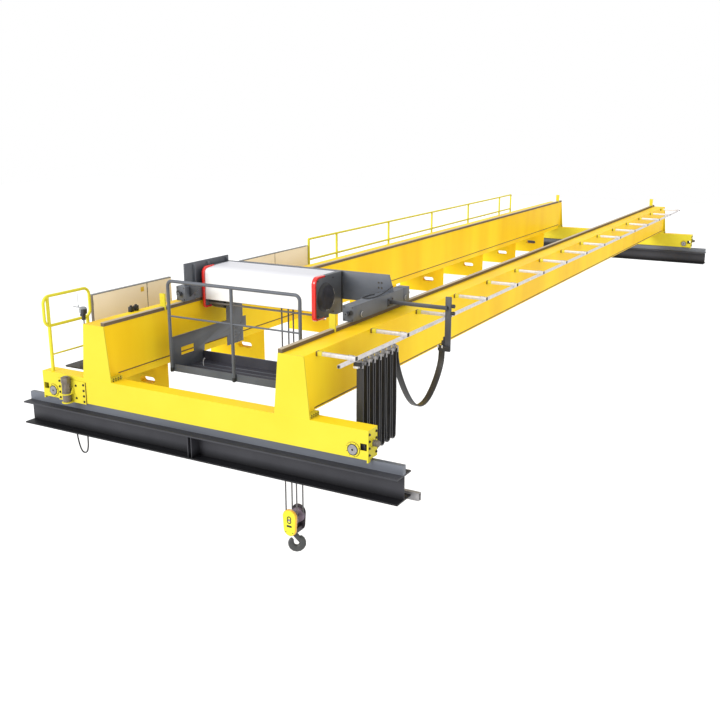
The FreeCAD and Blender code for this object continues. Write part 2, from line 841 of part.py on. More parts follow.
def hoist_trim(x, width):
    """A red band round the front of the housing's end."""
    outer = housing_profile(x, width)
    inner = housing_profile(x, width, trim_wall)
    behind = box((x - 1, x + width + 1), (hoist_near + trim_depth, hoist_far + 1),
                 (hoist_bottom - 1, hoist_top + 1))
    return outer.cut(inner).cut(behind)


def hoist_cap(x, length):
    """A dark end housing that fills the band and stands against the rear beam."""
    shoulder_y = (hoist_near + trim_depth, hoist_far - trim_wall)
    shoulder = box((x, x + length), shoulder_y, (hoist_bottom + cap_shoulder, hoist_top - cap_shoulder))
    foot = box((x, x + length), (drum_y, rear_beam_y), (rear_beam_bottom + 30, rear_beam_top - 60))
    return join([housing_profile(x, length, trim_wall), shoulder, foot])


def hoist_right_cap():
    """The right end housing with its round boss."""
    cap = hoist_cap(hoist_right, cap_right)
    face = FreeCAD.Vector(hoist_right + cap_right, disc_y, disc_z)
    boss = Part.makeCone(disc_radius, disc_face, disc_height, face, FreeCAD.Vector(1, 0, 0))
    return join([cap, boss])


def hoist_gear_case():
    """The round gear case between the left end housing and the drum."""
    return rod((hoist_left, gear_y, gear_z), (gear_right, gear_y, gear_z), gear_radius)


def rope_drum():
    """The drum between the gear case and the right end housing, with its journal."""
    drum = rod((drum_left, drum_y, drum_z), (hoist_right, drum_y, drum_z), drum_radius)
    journal = rod((gear_right, drum_y, drum_z), (drum_left, drum_y, drum_z), drum_radius / 3)
    return join([drum, journal])


def hoist_tie_rod():
    return rod((hoist_left, tie_rod_y, tie_rod_z), (hoist_right, tie_rod_y, tie_rod_z), tie_rod_radius)


def platform_tray():
    """A folded tray with a low front lip and a higher back lip."""
    t = platform_plate
    x = (platform_x - platform_half, platform_x + platform_half)
    floor = box(x, (platform_near, platform_far), (platform_bottom, platform_bottom + t))
    front = box(x, (platform_near, platform_near + t), (platform_bottom, platform_lip_near))
    back = box(x, (platform_far - t, platform_far), (platform_bottom, platform_lip_far))
    return join([floor, front, back])


def platform_hanger(s):
    """A side plate that carries the tray: an arm, a perforated riser and a tail to the rear beam."""
    x = platform_x + s * platform_half
    low, high = hanger_arm
    near, far = hanger_riser
    tail_low, tail_high = hanger_tail
    outline = [
        (x, platform_near, platform_bottom),
        (x, platform_far, platform_bottom),
        (x, platform_far + 40, low),
        (x, near, low),
        (x, near, hanger_bottom),
        (x, far, hanger_bottom),
        (x, far, hanger_ear_z[0]),
        (x, hanger_ear_y, hanger_ear_z[0]),
        (x, hanger_ear_y, hanger_ear_z[1]),
        (x, far, hanger_ear_z[1]),
        (x, far, tail_low),
        (x, rear_beam_y, tail_low),
        (x, rear_beam_y, tail_high),
        (x, far - 80, tail_high),
        (x, near + 145, hanger_crown),
        (x, near, hanger_crown),
        (x, near, high),
        (x, platform_near + 12, high),
        (x, platform_near, high - 30),
    ]
    plate = prism(outline, (s * hanger_plate, 0, 0))
    across = (x - 2 * hanger_plate, x + 2 * hanger_plate)
    holes = [
        rod((across[0], y, hanger_hole_first + hanger_hole_pitch * k),
            (across[1], y, hanger_hole_first + hanger_hole_pitch * k), hanger_hole_radius)
        for y in hanger_hole_rows
        for k in range(hanger_hole_count)
    ]
    return plate.cut(box(across, hanger_slot_y, hanger_slot_z)).cut(Part.makeCompound(holes))


def platform_handrail():
    y = platform_near - platform_rail_radius
    left, right = platform_x - platform_half, platform_x + platform_half
    foot = platform_bottom
    corners = [
        (left, y, foot), (left, y, platform_rail_top), (right, y, platform_rail_top), (right, y, foot),
    ]
    frame = bent_tube(corners, platform_rail_radius, platform_bend)
    middle = rod((platform_x, y, foot), (platform_x, y, platform_rail_top), platform_rail_radius)
    bar = rod((left, y, platform_mid_rail), (right, y, platform_mid_rail), platform_mid_radius)
    return join([frame, middle, bar])


def tow_arm():
    """The arm from the right wheel beam that pulls the festoon cable."""
    half = tow_size / 2
    arm = box((beam_outer_x, tow_post_x), (tow_y - half, tow_y + half), (tow_z - half, tow_z + half))
    foot = box((beam_outer_x, beam_outer_x + 10), (tow_y - 60, tow_y + 60), (tow_z - 45, tow_z + 45))
    post = box((tow_post_x - tow_post_width / 2, tow_post_x + tow_post_width / 2),
               (tow_y + half, tow_y + half + tow_post_depth), (tow_post_bottom, tow_post_top))
    clamp = box((tow_clamp_x - carrier_width / 2, tow_post_x),
                (tow_y + half, tow_y + half + tow_post_depth), (tow_post_bottom, tow_post_bottom + 60))
    knobs = [
        rod((tow_post_x + tow_post_width / 2, tow_y + half + 12, z),
            (tow_post_x + tow_post_width / 2 + 42, tow_y + half + 12, z), 22)
        for z in (tow_z + 20, tow_z - 62)
    ]
    return join([arm, foot, post, clamp] + knobs)


# --- Hook ---------------------------------------------------------------------------------------------------------------------------
block_half_y = sheave_spread / 2 + sheave_width / 2 + 5


def hook_block():
    """Two side plates, a centre web, the sheave axle and the crosshead with its bore."""
    z_mid = (block_top + block_bottom) / 2
    height = block_top - block_bottom
    pieces = []
    for s in (-1, 1):
        thick = block_plate if s > 0 else block_cover
        y = (hook_y + s * block_half_y, hook_y + s * (block_half_y + thick))
        run = (height - block_width) / 2
        for t in (-1, 1):
            pieces.append(rod((hook_x, y[0], z_mid + t * run), (hook_x, y[1], z_mid + t * run), block_width / 2))
        pieces.append(box((hook_x - block_width / 2, hook_x + block_width / 2), y, (z_mid - run, z_mid + run)))
    wall = (hook_y - block_half_y - 1, hook_y + block_half_y + 1)
    pieces.append(rod((hook_x, wall[0], block_axle_z), (hook_x, wall[1], block_axle_z), block_axle_radius))
    head_low = block_bottom + 18
    pieces.append(box((hook_x - 58, hook_x + 58), wall, (head_low, head_low + 62)))
    body = join(pieces)
    bore = rod((hook_x, hook_y, block_bottom - 1), (hook_x, hook_y, head_low + 70),
               hook_shank_radius + running_fit)
    return body.cut(bore)


def hook_sheaves():
    sheaves = []
    for s in (-1, 1):
        y = hook_y + s * sheave_spread / 2
        half = sheave_width / 2
        wheel = rod((hook_x, y - half, block_axle_z), (hook_x, y + half, block_axle_z), sheave_radius)
        seat = rope_radius + 0.6
        ring = Part.makeTorus(rope_pitch / 2, seat, FreeCAD.Vector(hook_x, y, block_axle_z),
                              FreeCAD.Vector(0, 1, 0))
        mouth = rod((hook_x, y - seat, block_axle_z), (hook_x, y + seat, block_axle_z), sheave_radius + 1)
        core = rod((hook_x, y - seat, block_axle_z), (hook_x, y + seat, block_axle_z), rope_pitch / 2)
        ring = join([ring, mouth.cut(core)])
        bore = rod((hook_x, y - half - 1, block_axle_z), (hook_x, y + half + 1, block_axle_z),
                   block_axle_radius + running_fit)
        sheaves.append(wheel.cut(ring).cut(bore))
    return Part.makeCompound(sheaves)


def hook():
    """A single hook on a round shank that turns in the crosshead, with its nut above."""
    y = (hook_y - hook_thickness / 2, hook_y + hook_thickness / 2)
    x, z = hook_bowl_x, hook_bowl_z
    ring = rod((x, y[0], z), (x, y[1], z), hook_outer)
    ring = ring.cut(rod((x - 8, y[0] - 1, z + 6), (x - 8, y[1] + 1, z + 6), hook_inner))
    mouth = prism([
        (x - 8, y[0] - 1, z + 6),
        (x - 200, y[0] - 1, z + 40),
        (x - 200, y[0] - 1, z + 300),
        (x - 30, y[0] - 1, z + 300),
        (x - 30, y[0] - 1, z + 48),
    ], (0, hook_thickness + 2, 0))
    ring = ring.cut(mouth)
    neck = prism([
        (hook_x - 26, y[0], block_bottom - 6),
        (hook_x + 34, y[0], block_bottom - 6),
        (x + 112, y[0], z + 60),
        (x + 46, y[0], z + 40),
        (x - 4, y[0], z + 60),
    ], (0, hook_thickness, 0))
    bowl = join([ring, neck])
    bowl.rotate(FreeCAD.Vector(hook_x, hook_y, 0), FreeCAD.Vector(0, 0, 1), hook_heading)
    shank = rod((hook_x, hook_y, block_bottom - 40), (hook_x, hook_y, block_bottom + 110), hook_shank_radius)
    nut = rod((hook_x, hook_y, block_bottom + 81), (hook_x, hook_y, block_bottom + 106), 40)
    return join([bowl, shank, nut])


def hoist_ropes():
    ropes = [rod((x, y, block_axle_z), (x, y, rope_top), rope_radius) for x, y in falls]
    return Part.makeCompound(ropes)


# --- Cables ---------------------------------------------------------------------------------------------------------------------------
cable_top = saddle_bottom


def stack_loop(k):
    """One of the folded loops, between two parked carriers."""
    near = carriers[k] + loop_inset
    far = carriers[k + 1] - loop_inset
    leg = [(0, 0), (0, 110), (-4, 320), (-6, 560), (-3, 740), (3, 850)]
    down = [(track_x, near + y, cable_top - z) for y, z in leg]
    up = [(track_x, far - y, cable_top - z) for y, z in reversed(leg)]
    floor = [(track_x, near + 3, cable_top - loop_depth), (track_x, far - 3, cable_top - loop_depth)]
    return down + floor + up


def open_loop():
    """The last loop, from the last carrier to the tow arm's clamp."""
    start = (track_x, carriers[-1] + loop_inset)
    end = (tow_clamp_x, tow_y + tow_size / 2 + tow_post_depth / 2)
    route = [
        (0.0, cable_top), (0.0, cable_top - 50), (34.0, 960.0), (98.0, 820.0), (182.0, 680.0),
        (285.0, 540.0), (408.0, 425.0), (545.0, 380.0), (690.0, 405.0), (822.0, 500.0),
        (930.0, 620.0), (1005.0, 745.0), (1031.0, 840.0), (1031.0, tow_post_bottom),
    ]
    length = route[-1][0]
    points = []
    for along, z in route:
        share = along / length
        points.append((start[0] + (end[0] - start[0]) * share, start[1] + (end[1] - start[1]) * share, z))
    return points


collector_y = beam_width / 2 + conductor_gap + conductor_width / 2
collector_low = -conductor_height / 2 - 5
collector_cable_radius = 7.0
collector_route = [
    (collector_x - 66, collector_y, collector_low - 46),
    (collector_x - 66, collector_y, collector_low - 120),
    (collector_x - 48, collector_y, collector_low - 210),
    (collector_x - 22, collector_y, collector_low - 290),
    (collector_x + 16, collector_y, collector_low - 328),
    (collector_x + 74, collector_y, collector_low - 312),
    (collector_x + 96, collector_y, collector_low - 250),
    (collector_x + 104, collector_y, collector_low - 160),
    (collector_x + 104, collector_y, collector_low - 66),
]


def collector_arm():
    """A bracket from the carriage down to the collector under the conductor rail."""
    inner = carriage_side
    x = collector_x
    foot = box((x + 70, x + 150), (inner, inner + 8), (carriage_bottom + 20, carriage_bottom + 120))
    reach = box((x + 85, x + 135), (inner, collector_y + 60), (carriage_bottom + 20, carriage_bottom + 28))
    drop = box((x + 85, x + 135), (collector_y + 52, collector_y + 60),
               (collector_low - 66, carriage_bottom + 28))
    hold = box((x + 85, x + 135), (collector_y - 14, collector_y + 60),
               (collector_low - 66, collector_low - 58))
    shoe = box((x - 110, x + 100), (collector_y - 16, collector_y + 16), (collector_low - 46, collector_low - 12))
    link = box((x + 60, x + 100), (collector_y - 14, collector_y + 56), (collector_low - 58, collector_low - 46))
    return join([foot, reach, drop, hold, shoe, link])


# --- The nodes --------------------------------------------------------------------------------------------------------------------------
def build():
    compound = Part.makeCompound
    ends = list(carriages.values())
    both = (-1, 1)
    nodes = {
        "runway_beam_near": runway_beam(0),
        "runway_beam_far": runway_beam(span),
        "runway_rails": compound([runway_rail(y) for y in ends]),
        "conductor_rail": conductor_rail(),
        "end_carriage_near": end_carriage(0),
        "end_carriage_far": end_carriage(span),
        "carriage_end_plates": compound([carriage_end_plate(y, s) for y in ends for s in both]),
        "carriage_buffers": compound([carriage_buffer(y, s) for y in ends for s in both]),
        "wheel_bearing_caps": compound([
            bearing_cap(s * wheel_x, y + t * carriage_side, t, wheel_z, cap_radius, cap_ring, cap_step, "y")
            for y in ends for s in both for t in both
        ]),
        "girder_left": girder(-1),
        "girder_right": girder(1),
        "girder_end_plates": compound([
            girder_end(s, y, out) for s in both for y, out in ((0, -1), (span, 1))
        ]),
        "trolley_rails": compound([trolley_rail(s) for s in both]),
        "trolley_end_stops": compound([end_stop(s, y) for s in both for y in (stop_near, stop_far)]),
        "walkway_floor": walkway_floor(),
        "walkway_brackets": compound([
            walkway_bracket(bracket_first + bracket_pitch * k) for k in range(bracket_count)
        ]),
        "walkway_handrail": walkway_handrail(),
        "walkway_guard": walkway_guard(),
        "electrical_panels": electrical_panels(),
        "warning_post": warning_post(),
        "guide_roller_bracket": guide_bracket(),
        "guide_roller": guide_roller(),
        "festoon_arms": compound([festoon_arm(y) for y in arms]),
        "festoon_track": festoon_track(),
        "festoon_end_clamp": carrier(carriers[0], False),
        "festoon_cable_stack": compound([
            ribbon(stack_loop(k), cable_width, cable_thickness) for k in range(carrier_count - 1)
        ]),
        "festoon_cable_loop": ribbon(open_loop(), cable_width, cable_thickness),
        "collector_arm": collector_arm(),
        "collector_cable": sweep_round(
            path_with_bends(collector_route, cord_bends(collector_route)), collector_cable_radius
        ),
        "trolley_beam_left": trolley_beam(-1),
        "trolley_beam_right": trolley_beam(1),
        "trolley_rear_beam": rear_beam(),
        "trolley_side_plate": side_plate(),
        "hoist_cover": hoist_cover(),
        "hoist_trims": compound([
            hoist_trim(hoist_left - trim_left, trim_left),
            hoist_trim(hoist_right, trim_right),
        ]),
        "hoist_end_caps": compound([
            hoist_cap(hoist_left - trim_left, trim_left),
            hoist_right_cap(),
        ]),
        "hoist_gear_case": hoist_gear_case(),
        "rope_drum": rope_drum(),
        "hoist_tie_rod": hoist_tie_rod(),
        "platform_tray": platform_tray(),
        "platform_hangers": compound([platform_hanger(s) for s in both]),
        "platform_handrail": platform_handrail(),
        "tow_arm": tow_arm(),
        "hook_block": hook_block(),
        "hook_sheaves": hook_sheaves(),
        "hook": hook(),
        "hoist_ropes": hoist_ropes(),
    }
    for name, y in carriages.items():
        for side, s in sides.items():
            nodes[f"runway_wheel_{name}_{side}"] = runway_wheel(s * wheel_x, y)
    for name, y in zip(("near", "far"), trolley_wheel_y):
        nodes[f"trolley_wheels_{name}"] = compound([trolley_wheel(s, y) for s in both])
    for k, y in enumerate(carriers[1:], 1):
        nodes[f"festoon_carrier_{k}"] = carrier(y, True)
    return nodes


def main():
    os.makedirs("parts", exist_ok=True)
    routes = {"stack loop": stack_loop(0), "open loop": open_loop(), "collector": collector_route}
    for name, points in routes.items():
        print(name, "radii", [round(r) for r in cord_bends(points)])
    for name, shape in build().items():
        shape.exportStep(f"parts/{name}.step")


main()
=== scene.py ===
import math

import bmesh
import bpy
from mathutils import Matrix, Vector


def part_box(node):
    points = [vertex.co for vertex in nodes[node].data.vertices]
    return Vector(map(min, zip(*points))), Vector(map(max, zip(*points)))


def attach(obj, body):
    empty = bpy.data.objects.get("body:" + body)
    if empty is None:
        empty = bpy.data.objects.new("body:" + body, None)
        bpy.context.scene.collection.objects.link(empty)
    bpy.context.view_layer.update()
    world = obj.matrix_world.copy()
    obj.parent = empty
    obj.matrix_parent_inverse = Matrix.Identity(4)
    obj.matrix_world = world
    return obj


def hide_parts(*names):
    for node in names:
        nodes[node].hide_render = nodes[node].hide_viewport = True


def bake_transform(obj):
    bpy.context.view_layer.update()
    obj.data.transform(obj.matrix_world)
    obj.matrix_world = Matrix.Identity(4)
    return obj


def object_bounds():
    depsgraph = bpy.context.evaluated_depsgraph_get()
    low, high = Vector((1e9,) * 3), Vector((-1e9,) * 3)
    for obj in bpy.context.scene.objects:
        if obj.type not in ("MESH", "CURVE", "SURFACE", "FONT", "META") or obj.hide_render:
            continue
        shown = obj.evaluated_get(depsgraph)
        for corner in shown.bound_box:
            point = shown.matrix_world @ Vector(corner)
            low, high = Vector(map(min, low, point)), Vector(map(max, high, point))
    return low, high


# Double-girder overhead crane: finishes, fasteners, cables and ropes. Everything is in
# metres in the crane's own frame: +X along the runway, +Y along the bridge, +Z up.

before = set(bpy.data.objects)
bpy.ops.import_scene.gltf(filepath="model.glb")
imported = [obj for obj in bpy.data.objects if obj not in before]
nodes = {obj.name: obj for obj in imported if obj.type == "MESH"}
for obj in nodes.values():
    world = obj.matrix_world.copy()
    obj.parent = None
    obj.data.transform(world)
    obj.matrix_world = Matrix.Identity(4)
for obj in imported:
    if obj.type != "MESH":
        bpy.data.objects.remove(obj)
cad_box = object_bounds()

UP = Vector((0, 0, 1))
ALONG_RUNWAY = Vector((1, 0, 0))
ALONG_BRIDGE = Vector((0, 1, 0))
SIDES = (-1, 1)


def put(holder):
    bpy.context.scene.collection.objects.link(holder)


def plain_mesh(holder):
    """The mesh of an object after its modifiers or its curve settings."""
    graph = bpy.context.evaluated_depsgraph_get()
    return bpy.data.meshes.new_from_object(holder.evaluated_get(graph))


# --- Places taken from the frame --------------------------------------------------------
def low(node):
    return Vector(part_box(node)[0])


def high(node):
    return Vector(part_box(node)[1])


def corners(node):
    return low(node), high(node)


def middle(node):
    return (low(node) + high(node)) / 2


SPAN = middle("runway_beam_far").y
CARRIAGE_TOP = high("end_carriage_near").z
CARRIAGE_LOW = low("end_carriage_near").z
CARRIAGE_SIDE = high("end_carriage_near").y
CARRIAGE_END = high("carriage_end_plates").x
WHEEL = middle("runway_wheel_near_right")
GIRDER_IN = low("girder_right").x
GIRDER_OUT = high("girder_right").x
GIRDER_LOW = low("girder_right").z + 0.069
GIRDER_TOP = high("girder_right").z
RAIL_LINE = GIRDER_IN + 0.020
RAIL_TOP = high("trolley_rails").z
TRACK_X = middle("festoon_track").x
TRACK_LOW = low("festoon_track").z
TRACK_TOP = high("festoon_track").z
WALK_TOP = high("walkway_floor").z
BEAM_TOP = high("trolley_beam_right").z
BEAM_IN = low("trolley_beam_right").x
BEAM_OUT = BEAM_IN + 0.130
HOOK_AXIS = middle("hook_sheaves")
AXLE_Z = HOOK_AXIS.z
CARRIERS = [middle("festoon_end_clamp").y] + [middle(f"festoon_carrier_{k}").y for k in range(1, 7)]
SADDLE_LOW = low("festoon_end_clamp").z
ARM_PITCH = 1.1
FOOT_FLARE = 0.058        # how far a girder's foot widens past its web
LEAD_SWELL = 1.3          # the collector lead's drawn thickness over its declared one
HOOK_HEADING = 29         # degrees the hook is turned about its shank
ROPE_RADIUS = 0.0095
ARM_COUNT = 15
ARM_FIRST = 0.153
ARM_Z = middle("festoon_arms").z


# --- Camera -----------------------------------------------------------------------------
def add_camera():
    camera = bpy.data.cameras.new("camera")
    camera.sensor_width = 36
    camera.lens = 46.38
    camera.clip_end = 200
    holder = bpy.data.objects.new("camera", camera)
    holder.location = (6.0328, -7.2183, 3.5361)
    holder.rotation_euler = (math.radians(90 - 15.08), 0, math.radians(29.27))
    put(holder)
    bpy.context.scene.camera = holder


add_camera()


# --- Materials --------------------------------------------------------------------------
def link(tree, source, socket, target, name):
    tree.links.new(source.outputs[socket], target.inputs[name])


def raise_surface(tree, pattern, strength, distance):
    """Bumps the shader's surface by a pattern."""
    bump = tree.nodes.new("ShaderNodeBump")
    bump.inputs["Strength"].default_value = strength
    bump.inputs["Distance"].default_value = distance
    link(tree, pattern, "Fac", bump, "Height")
    link(tree, bump, "Normal", tree.nodes["Principled BSDF"], "Normal")


def mottled(name, colour, tint, scale=2.0, roughness=(0.3, 0.45), metallic=0.0, peel=0.03,
            peel_scale=180.0, coat=0.0, stretch=(1, 1, 1), detail=4.0, shine=0.5):
    """A finish whose colour drifts between two tints, with a fine surface texture."""
    material = bpy.data.materials.new(name)
    material.use_nodes = True
    tree = material.node_tree
    shader = tree.nodes["Principled BSDF"]
    shader.inputs["Metallic"].default_value = metallic
    shader.inputs["Coat Weight"].default_value = coat
    shader.inputs["Specular IOR Level"].default_value = shine
    place = tree.nodes.new("ShaderNodeTexCoord")
    mapping = tree.nodes.new("ShaderNodeMapping")
    mapping.inputs["Scale"].default_value = stretch
    link(tree, place, "Object", mapping, "Vector")

    drift = tree.nodes.new("ShaderNodeTexNoise")
    drift.inputs["Scale"].default_value = scale
    drift.inputs["Detail"].default_value = detail
    link(tree, mapping, "Vector", drift, "Vector")
    ramp = tree.nodes.new("ShaderNodeValToRGB")
    ramp.color_ramp.elements[0].position = 0.32
    ramp.color_ramp.elements[1].position = 0.68
    ramp.color_ramp.elements[0].color = (*tint, 1)
    ramp.color_ramp.elements[1].color = (*colour, 1)
    link(tree, drift, "Fac", ramp, "Fac")
    link(tree, ramp, "Color", shader, "Base Color")

    gloss = tree.nodes.new("ShaderNodeMapRange")
    gloss.inputs["To Min"].default_value = roughness[0]
    gloss.inputs["To Max"].default_value = roughness[1]
    link(tree, drift, "Fac", gloss, "Value")
    link(tree, gloss, "Result", shader, "Roughness")

    grain = tree.nodes.new("ShaderNodeTexNoise")
    grain.inputs["Scale"].default_value = peel_scale
    link(tree, mapping, "Vector", grain, "Vector")
    raise_surface(tree, grain, peel, 0.002)
    return material


def tinted_along(material, axis, start, end, shade):
    """Multiplies the colour by a shade, from none at start to all of it at end, along an axis; it
    paints light on the carriage tops and shade on the hoist cover's top, and darkens the runway
    beams low down and the trolley rails' sides.
    """
    tree = material.node_tree
    shader = tree.nodes["Principled BSDF"]
    source = shader.inputs["Base Color"].links[0].from_socket
    place = tree.nodes.new("ShaderNodeTexCoord")
    parts = tree.nodes.new("ShaderNodeSeparateXYZ")
    link(tree, place, "Object", parts, "Vector")
    band = tree.nodes.new("ShaderNodeMapRange")
    band.inputs["From Min"].default_value = start
    band.inputs["From Max"].default_value = end
    link(tree, parts, axis, band, "Value")
    blend = tree.nodes.new("ShaderNodeMix")
    blend.data_type = "RGBA"
    blend.blend_type = "MULTIPLY"
    base, tint = [socket for socket in blend.inputs if socket.type == "RGBA"]
    tint.default_value = (*shade, 1)
    link(tree, band, "Result", blend, "Factor")
    tree.links.new(source, base)
    mixed = [socket for socket in blend.outputs if socket.type == "RGBA"][0]
    tree.links.new(mixed, shader.inputs["Base Color"])
    return material


YELLOW = mottled("crane_yellow", (0.640, 0.555, 0.040), (0.610, 0.510, 0.030), scale=1.1,
    roughness=(0.38, 0.52), peel=0.02, shine=0.12)
# Painted light: the carriages' top faces are tinted a deeper gold than their lemon sides.
CARRIAGE_YELLOW_PAINTED_TOP = tinted_along(mottled("carriage_yellow_painted_top_light", (0.640, 0.555, 0.040), (0.610, 0.510, 0.030),
    scale=1.1, roughness=(0.38, 0.52), peel=0.02, shine=0.12), "Z", CARRIAGE_TOP - 0.0025,
    CARRIAGE_TOP - 0.0005, (1.42, 1.16, 0.50))
# A golden copy of the crane yellow for faces that mostly turn from the key light, such as the
# girders' webs and the walkway brackets: painted shade, beside the lemon of the lit faces.
SHADE_SIDE_YELLOW = mottled("crane_yellow_shade_side", (0.93, 0.66, 0.020), (0.84, 0.50, 0.006), scale=1.2,
    roughness=(0.38, 0.54), peel=0.02, stretch=(1, 1, 0.22), shine=0.08)
TUBE_YELLOW = mottled("handrail_yellow", (0.72, 0.67, 0.050), (0.68, 0.62, 0.040), scale=4.0,
    roughness=(0.30, 0.44), shine=0.2)
# Brown for seams and welds, used also for painted shade at some plate edges, over the girders' lips
# and at the festoon sockets' feet.
BROWN_SEAM_AND_SHADE = mottled("weld_seam_and_shade_brown", (0.20, 0.115, 0.020), (0.13, 0.070, 0.014), scale=5,
    roughness=(0.5, 0.7), peel=0.1, peel_scale=60)
CHARCOAL = tinted_along(mottled("runway_charcoal", (0.042, 0.042, 0.049), (0.030, 0.030, 0.036), scale=2.5,
    roughness=(0.45, 0.62), peel=0.06, peel_scale=90, shine=0.3), "Z", 0.105, 0.030,
    (0.16, 0.16, 0.18))
RAIL_BLUE = mottled("runway_rail_steel", (0.17, 0.185, 0.215), (0.13, 0.14, 0.165), scale=5,
    roughness=(0.35, 0.55), metallic=0.35, stretch=(0.15, 1, 1), peel=0.05)
RAIL_BROWN = tinted_along(mottled("trolley_rail_steel", (0.50, 0.42, 0.30), (0.38, 0.31, 0.22), scale=6,
    roughness=(0.45, 0.65), stretch=(1, 0.1, 1), peel=0.06, shine=0.2), "Z", RAIL_TOP - 0.001,
    RAIL_TOP - 0.006, (0.30, 0.26, 0.22))
ROD_BROWN = mottled("tie_rod_steel", (0.16, 0.14, 0.12), (0.11, 0.10, 0.085), scale=12,
    roughness=(0.4, 0.6), metallic=0.2)
ZINC = mottled("galvanised_zinc", (0.66, 0.63, 0.62), (0.50, 0.485, 0.49), scale=30,
    roughness=(0.35, 0.5), metallic=0.45, peel=0.03)
GREY_ZINC = mottled("weathered_zinc", (0.34, 0.33, 0.33), (0.24, 0.235, 0.24), scale=22,
    roughness=(0.4, 0.55), metallic=0.3, peel=0.04)
# The cover's top is greyed from z 1.668 upward: painted shade.
WHITE_SHADED_TOP = tinted_along(mottled("hoist_white_enamel_painted_shade_top", (0.88, 0.88, 0.89), (0.84, 0.84, 0.855), scale=1.6,
    roughness=(0.3, 0.4), peel=0.008), "Z", 1.668, 1.698, (0.68, 0.68, 0.71))
RED = mottled("hoist_red_enamel", (0.80, 0.020, 0.012), (0.70, 0.015, 0.010), scale=3,
    roughness=(0.2, 0.3), coat=0.4, peel=0.01)
SLATE = mottled("trolley_slate_paint", (0.100, 0.110, 0.130), (0.074, 0.082, 0.098), scale=3.0,
    roughness=(0.36, 0.52), peel=0.03)
# Dark casting paint for the gear case and drum; also painted shade on the wheel beams' bore rims
# and the side plate's gusset.
SLATE_DARK_AND_SHADE = mottled("hoist_dark_casting_and_painted_shade", (0.045, 0.048, 0.055), (0.030, 0.032, 0.038), scale=7,
    roughness=(0.4, 0.6), peel=0.12, peel_scale=120)
CAP_GREY = mottled("end_cap_grey", (0.088, 0.094, 0.106), (0.066, 0.071, 0.082), scale=4,
    roughness=(0.36, 0.5), peel=0.05)
BOSS_GREY = mottled("boss_face_grey", (0.052, 0.055, 0.074), (0.030, 0.032, 0.044), scale=14,
    roughness=(0.45, 0.6), peel=0.08, shine=0.2)
TOW_GREY = mottled("tow_bar_grey", (0.062, 0.064, 0.074), (0.044, 0.046, 0.054), scale=6,
    roughness=(0.4, 0.55), peel=0.04)
# Painted shade for the tray's inside.
TRAY_SHADE = mottled("tray_inside_painted_shade", (0.040, 0.040, 0.052), (0.028, 0.028, 0.037), scale=5,
    roughness=(0.5, 0.7), peel=0.1, peel_scale=90)
BEIGE = mottled("cabinet_beige", (0.96, 0.86, 0.68), (0.92, 0.82, 0.63), scale=1.5,
    roughness=(0.4, 0.5), peel=0.04, peel_scale=260)
CABINET_BROWN = mottled("cabinet_edge_brown", (0.15, 0.115, 0.085), (0.10, 0.078, 0.06), scale=6)
DECK = mottled("walkway_deck", (0.055, 0.050, 0.047), (0.033, 0.031, 0.030), scale=9,
    roughness=(0.6, 0.8), peel=0.35, peel_scale=60)
IRON = mottled("wheel_iron", (0.13, 0.13, 0.135), (0.08, 0.08, 0.085), scale=14,
    roughness=(0.35, 0.6), metallic=0.6, peel=0.1)
STEEL = mottled("machined_steel", (0.34, 0.33, 0.34), (0.25, 0.245, 0.25), scale=22,
    roughness=(0.28, 0.45), metallic=0.6, peel=0.02)
# Pale steel for caps and tabs; also painted highlights on the hoist boss's rim.
PALE_STEEL_AND_HIGHLIGHT = mottled("pale_cap_steel_and_painted_highlight", (0.62, 0.61, 0.60), (0.50, 0.49, 0.48), scale=25,
    roughness=(0.3, 0.45), metallic=0.4)
BUSH_BROWN = mottled("guide_bush_iron", (0.21, 0.175, 0.14), (0.13, 0.11, 0.09), scale=16,
    roughness=(0.4, 0.6), metallic=0.4, peel=0.08)
BOLT_DARK = mottled("bolt_black_oxide", (0.075, 0.060, 0.040), (0.045, 0.036, 0.026), scale=60,
    roughness=(0.35, 0.55), metallic=0.5, peel=0.05)
BOLT_GREY = mottled("bolt_zinc", (0.30, 0.29, 0.27), (0.20, 0.19, 0.18), scale=60,
    roughness=(0.3, 0.5), metallic=0.6, peel=0.05)
# Black rubber; also black painted shade in the bearing gaps, the wheel beams' bores, on the boss's
# side wall and behind the hoist's cap.
RUBBER_AND_SHADE = mottled("black_rubber_and_painted_shade", (0.016, 0.016, 0.017), (0.010, 0.010, 0.011), scale=18,
    roughness=(0.45, 0.65), peel=0.05)
BUFFER = mottled("buffer_polyurethane", (0.15, 0.125, 0.095), (0.10, 0.085, 0.065), scale=18,
    roughness=(0.45, 0.6), peel=0.05)
HOOK_IRON = mottled("hook_grey_iron", (0.060, 0.062, 0.062), (0.040, 0.042, 0.042), scale=12,
    roughness=(0.35, 0.55), metallic=0.2, peel=0.15, peel_scale=60)
# Dark plate for the hook block's axle and crosshead; on its rear plate the dark is painted shade.
BLOCK_DARK_AND_SHADE = mottled("block_dark_plate_and_painted_shade", (0.050, 0.040, 0.048), (0.030, 0.024, 0.030), scale=14,
    roughness=(0.4, 0.6), metallic=0.2, peel=0.08)
SHEAVE_PURPLE = mottled("sheave_iron", (0.30, 0.235, 0.30), (0.19, 0.15, 0.19), scale=16,
    roughness=(0.4, 0.6), metallic=0.1, peel=0.06)
SIREN_GREY = mottled("siren_grey", (0.24, 0.25, 0.26), (0.18, 0.19, 0.20), scale=10,
    roughness=(0.4, 0.55))
BLOCK_YELLOW = mottled("block_yellow", (0.72, 0.700, 0.040), (0.68, 0.640, 0.034), scale=8,
    roughness=(0.3, 0.45), shine=0.2)
BLOCK_RIM = mottled("block_rim_gold", (0.78, 0.44, 0.020), (0.68, 0.37, 0.016), scale=10,
    roughness=(0.3, 0.45), coat=0.2)
LABEL = mottled("blank_label_yellow", (0.80, 0.56, 0.06), (0.74, 0.50, 0.05), scale=12)


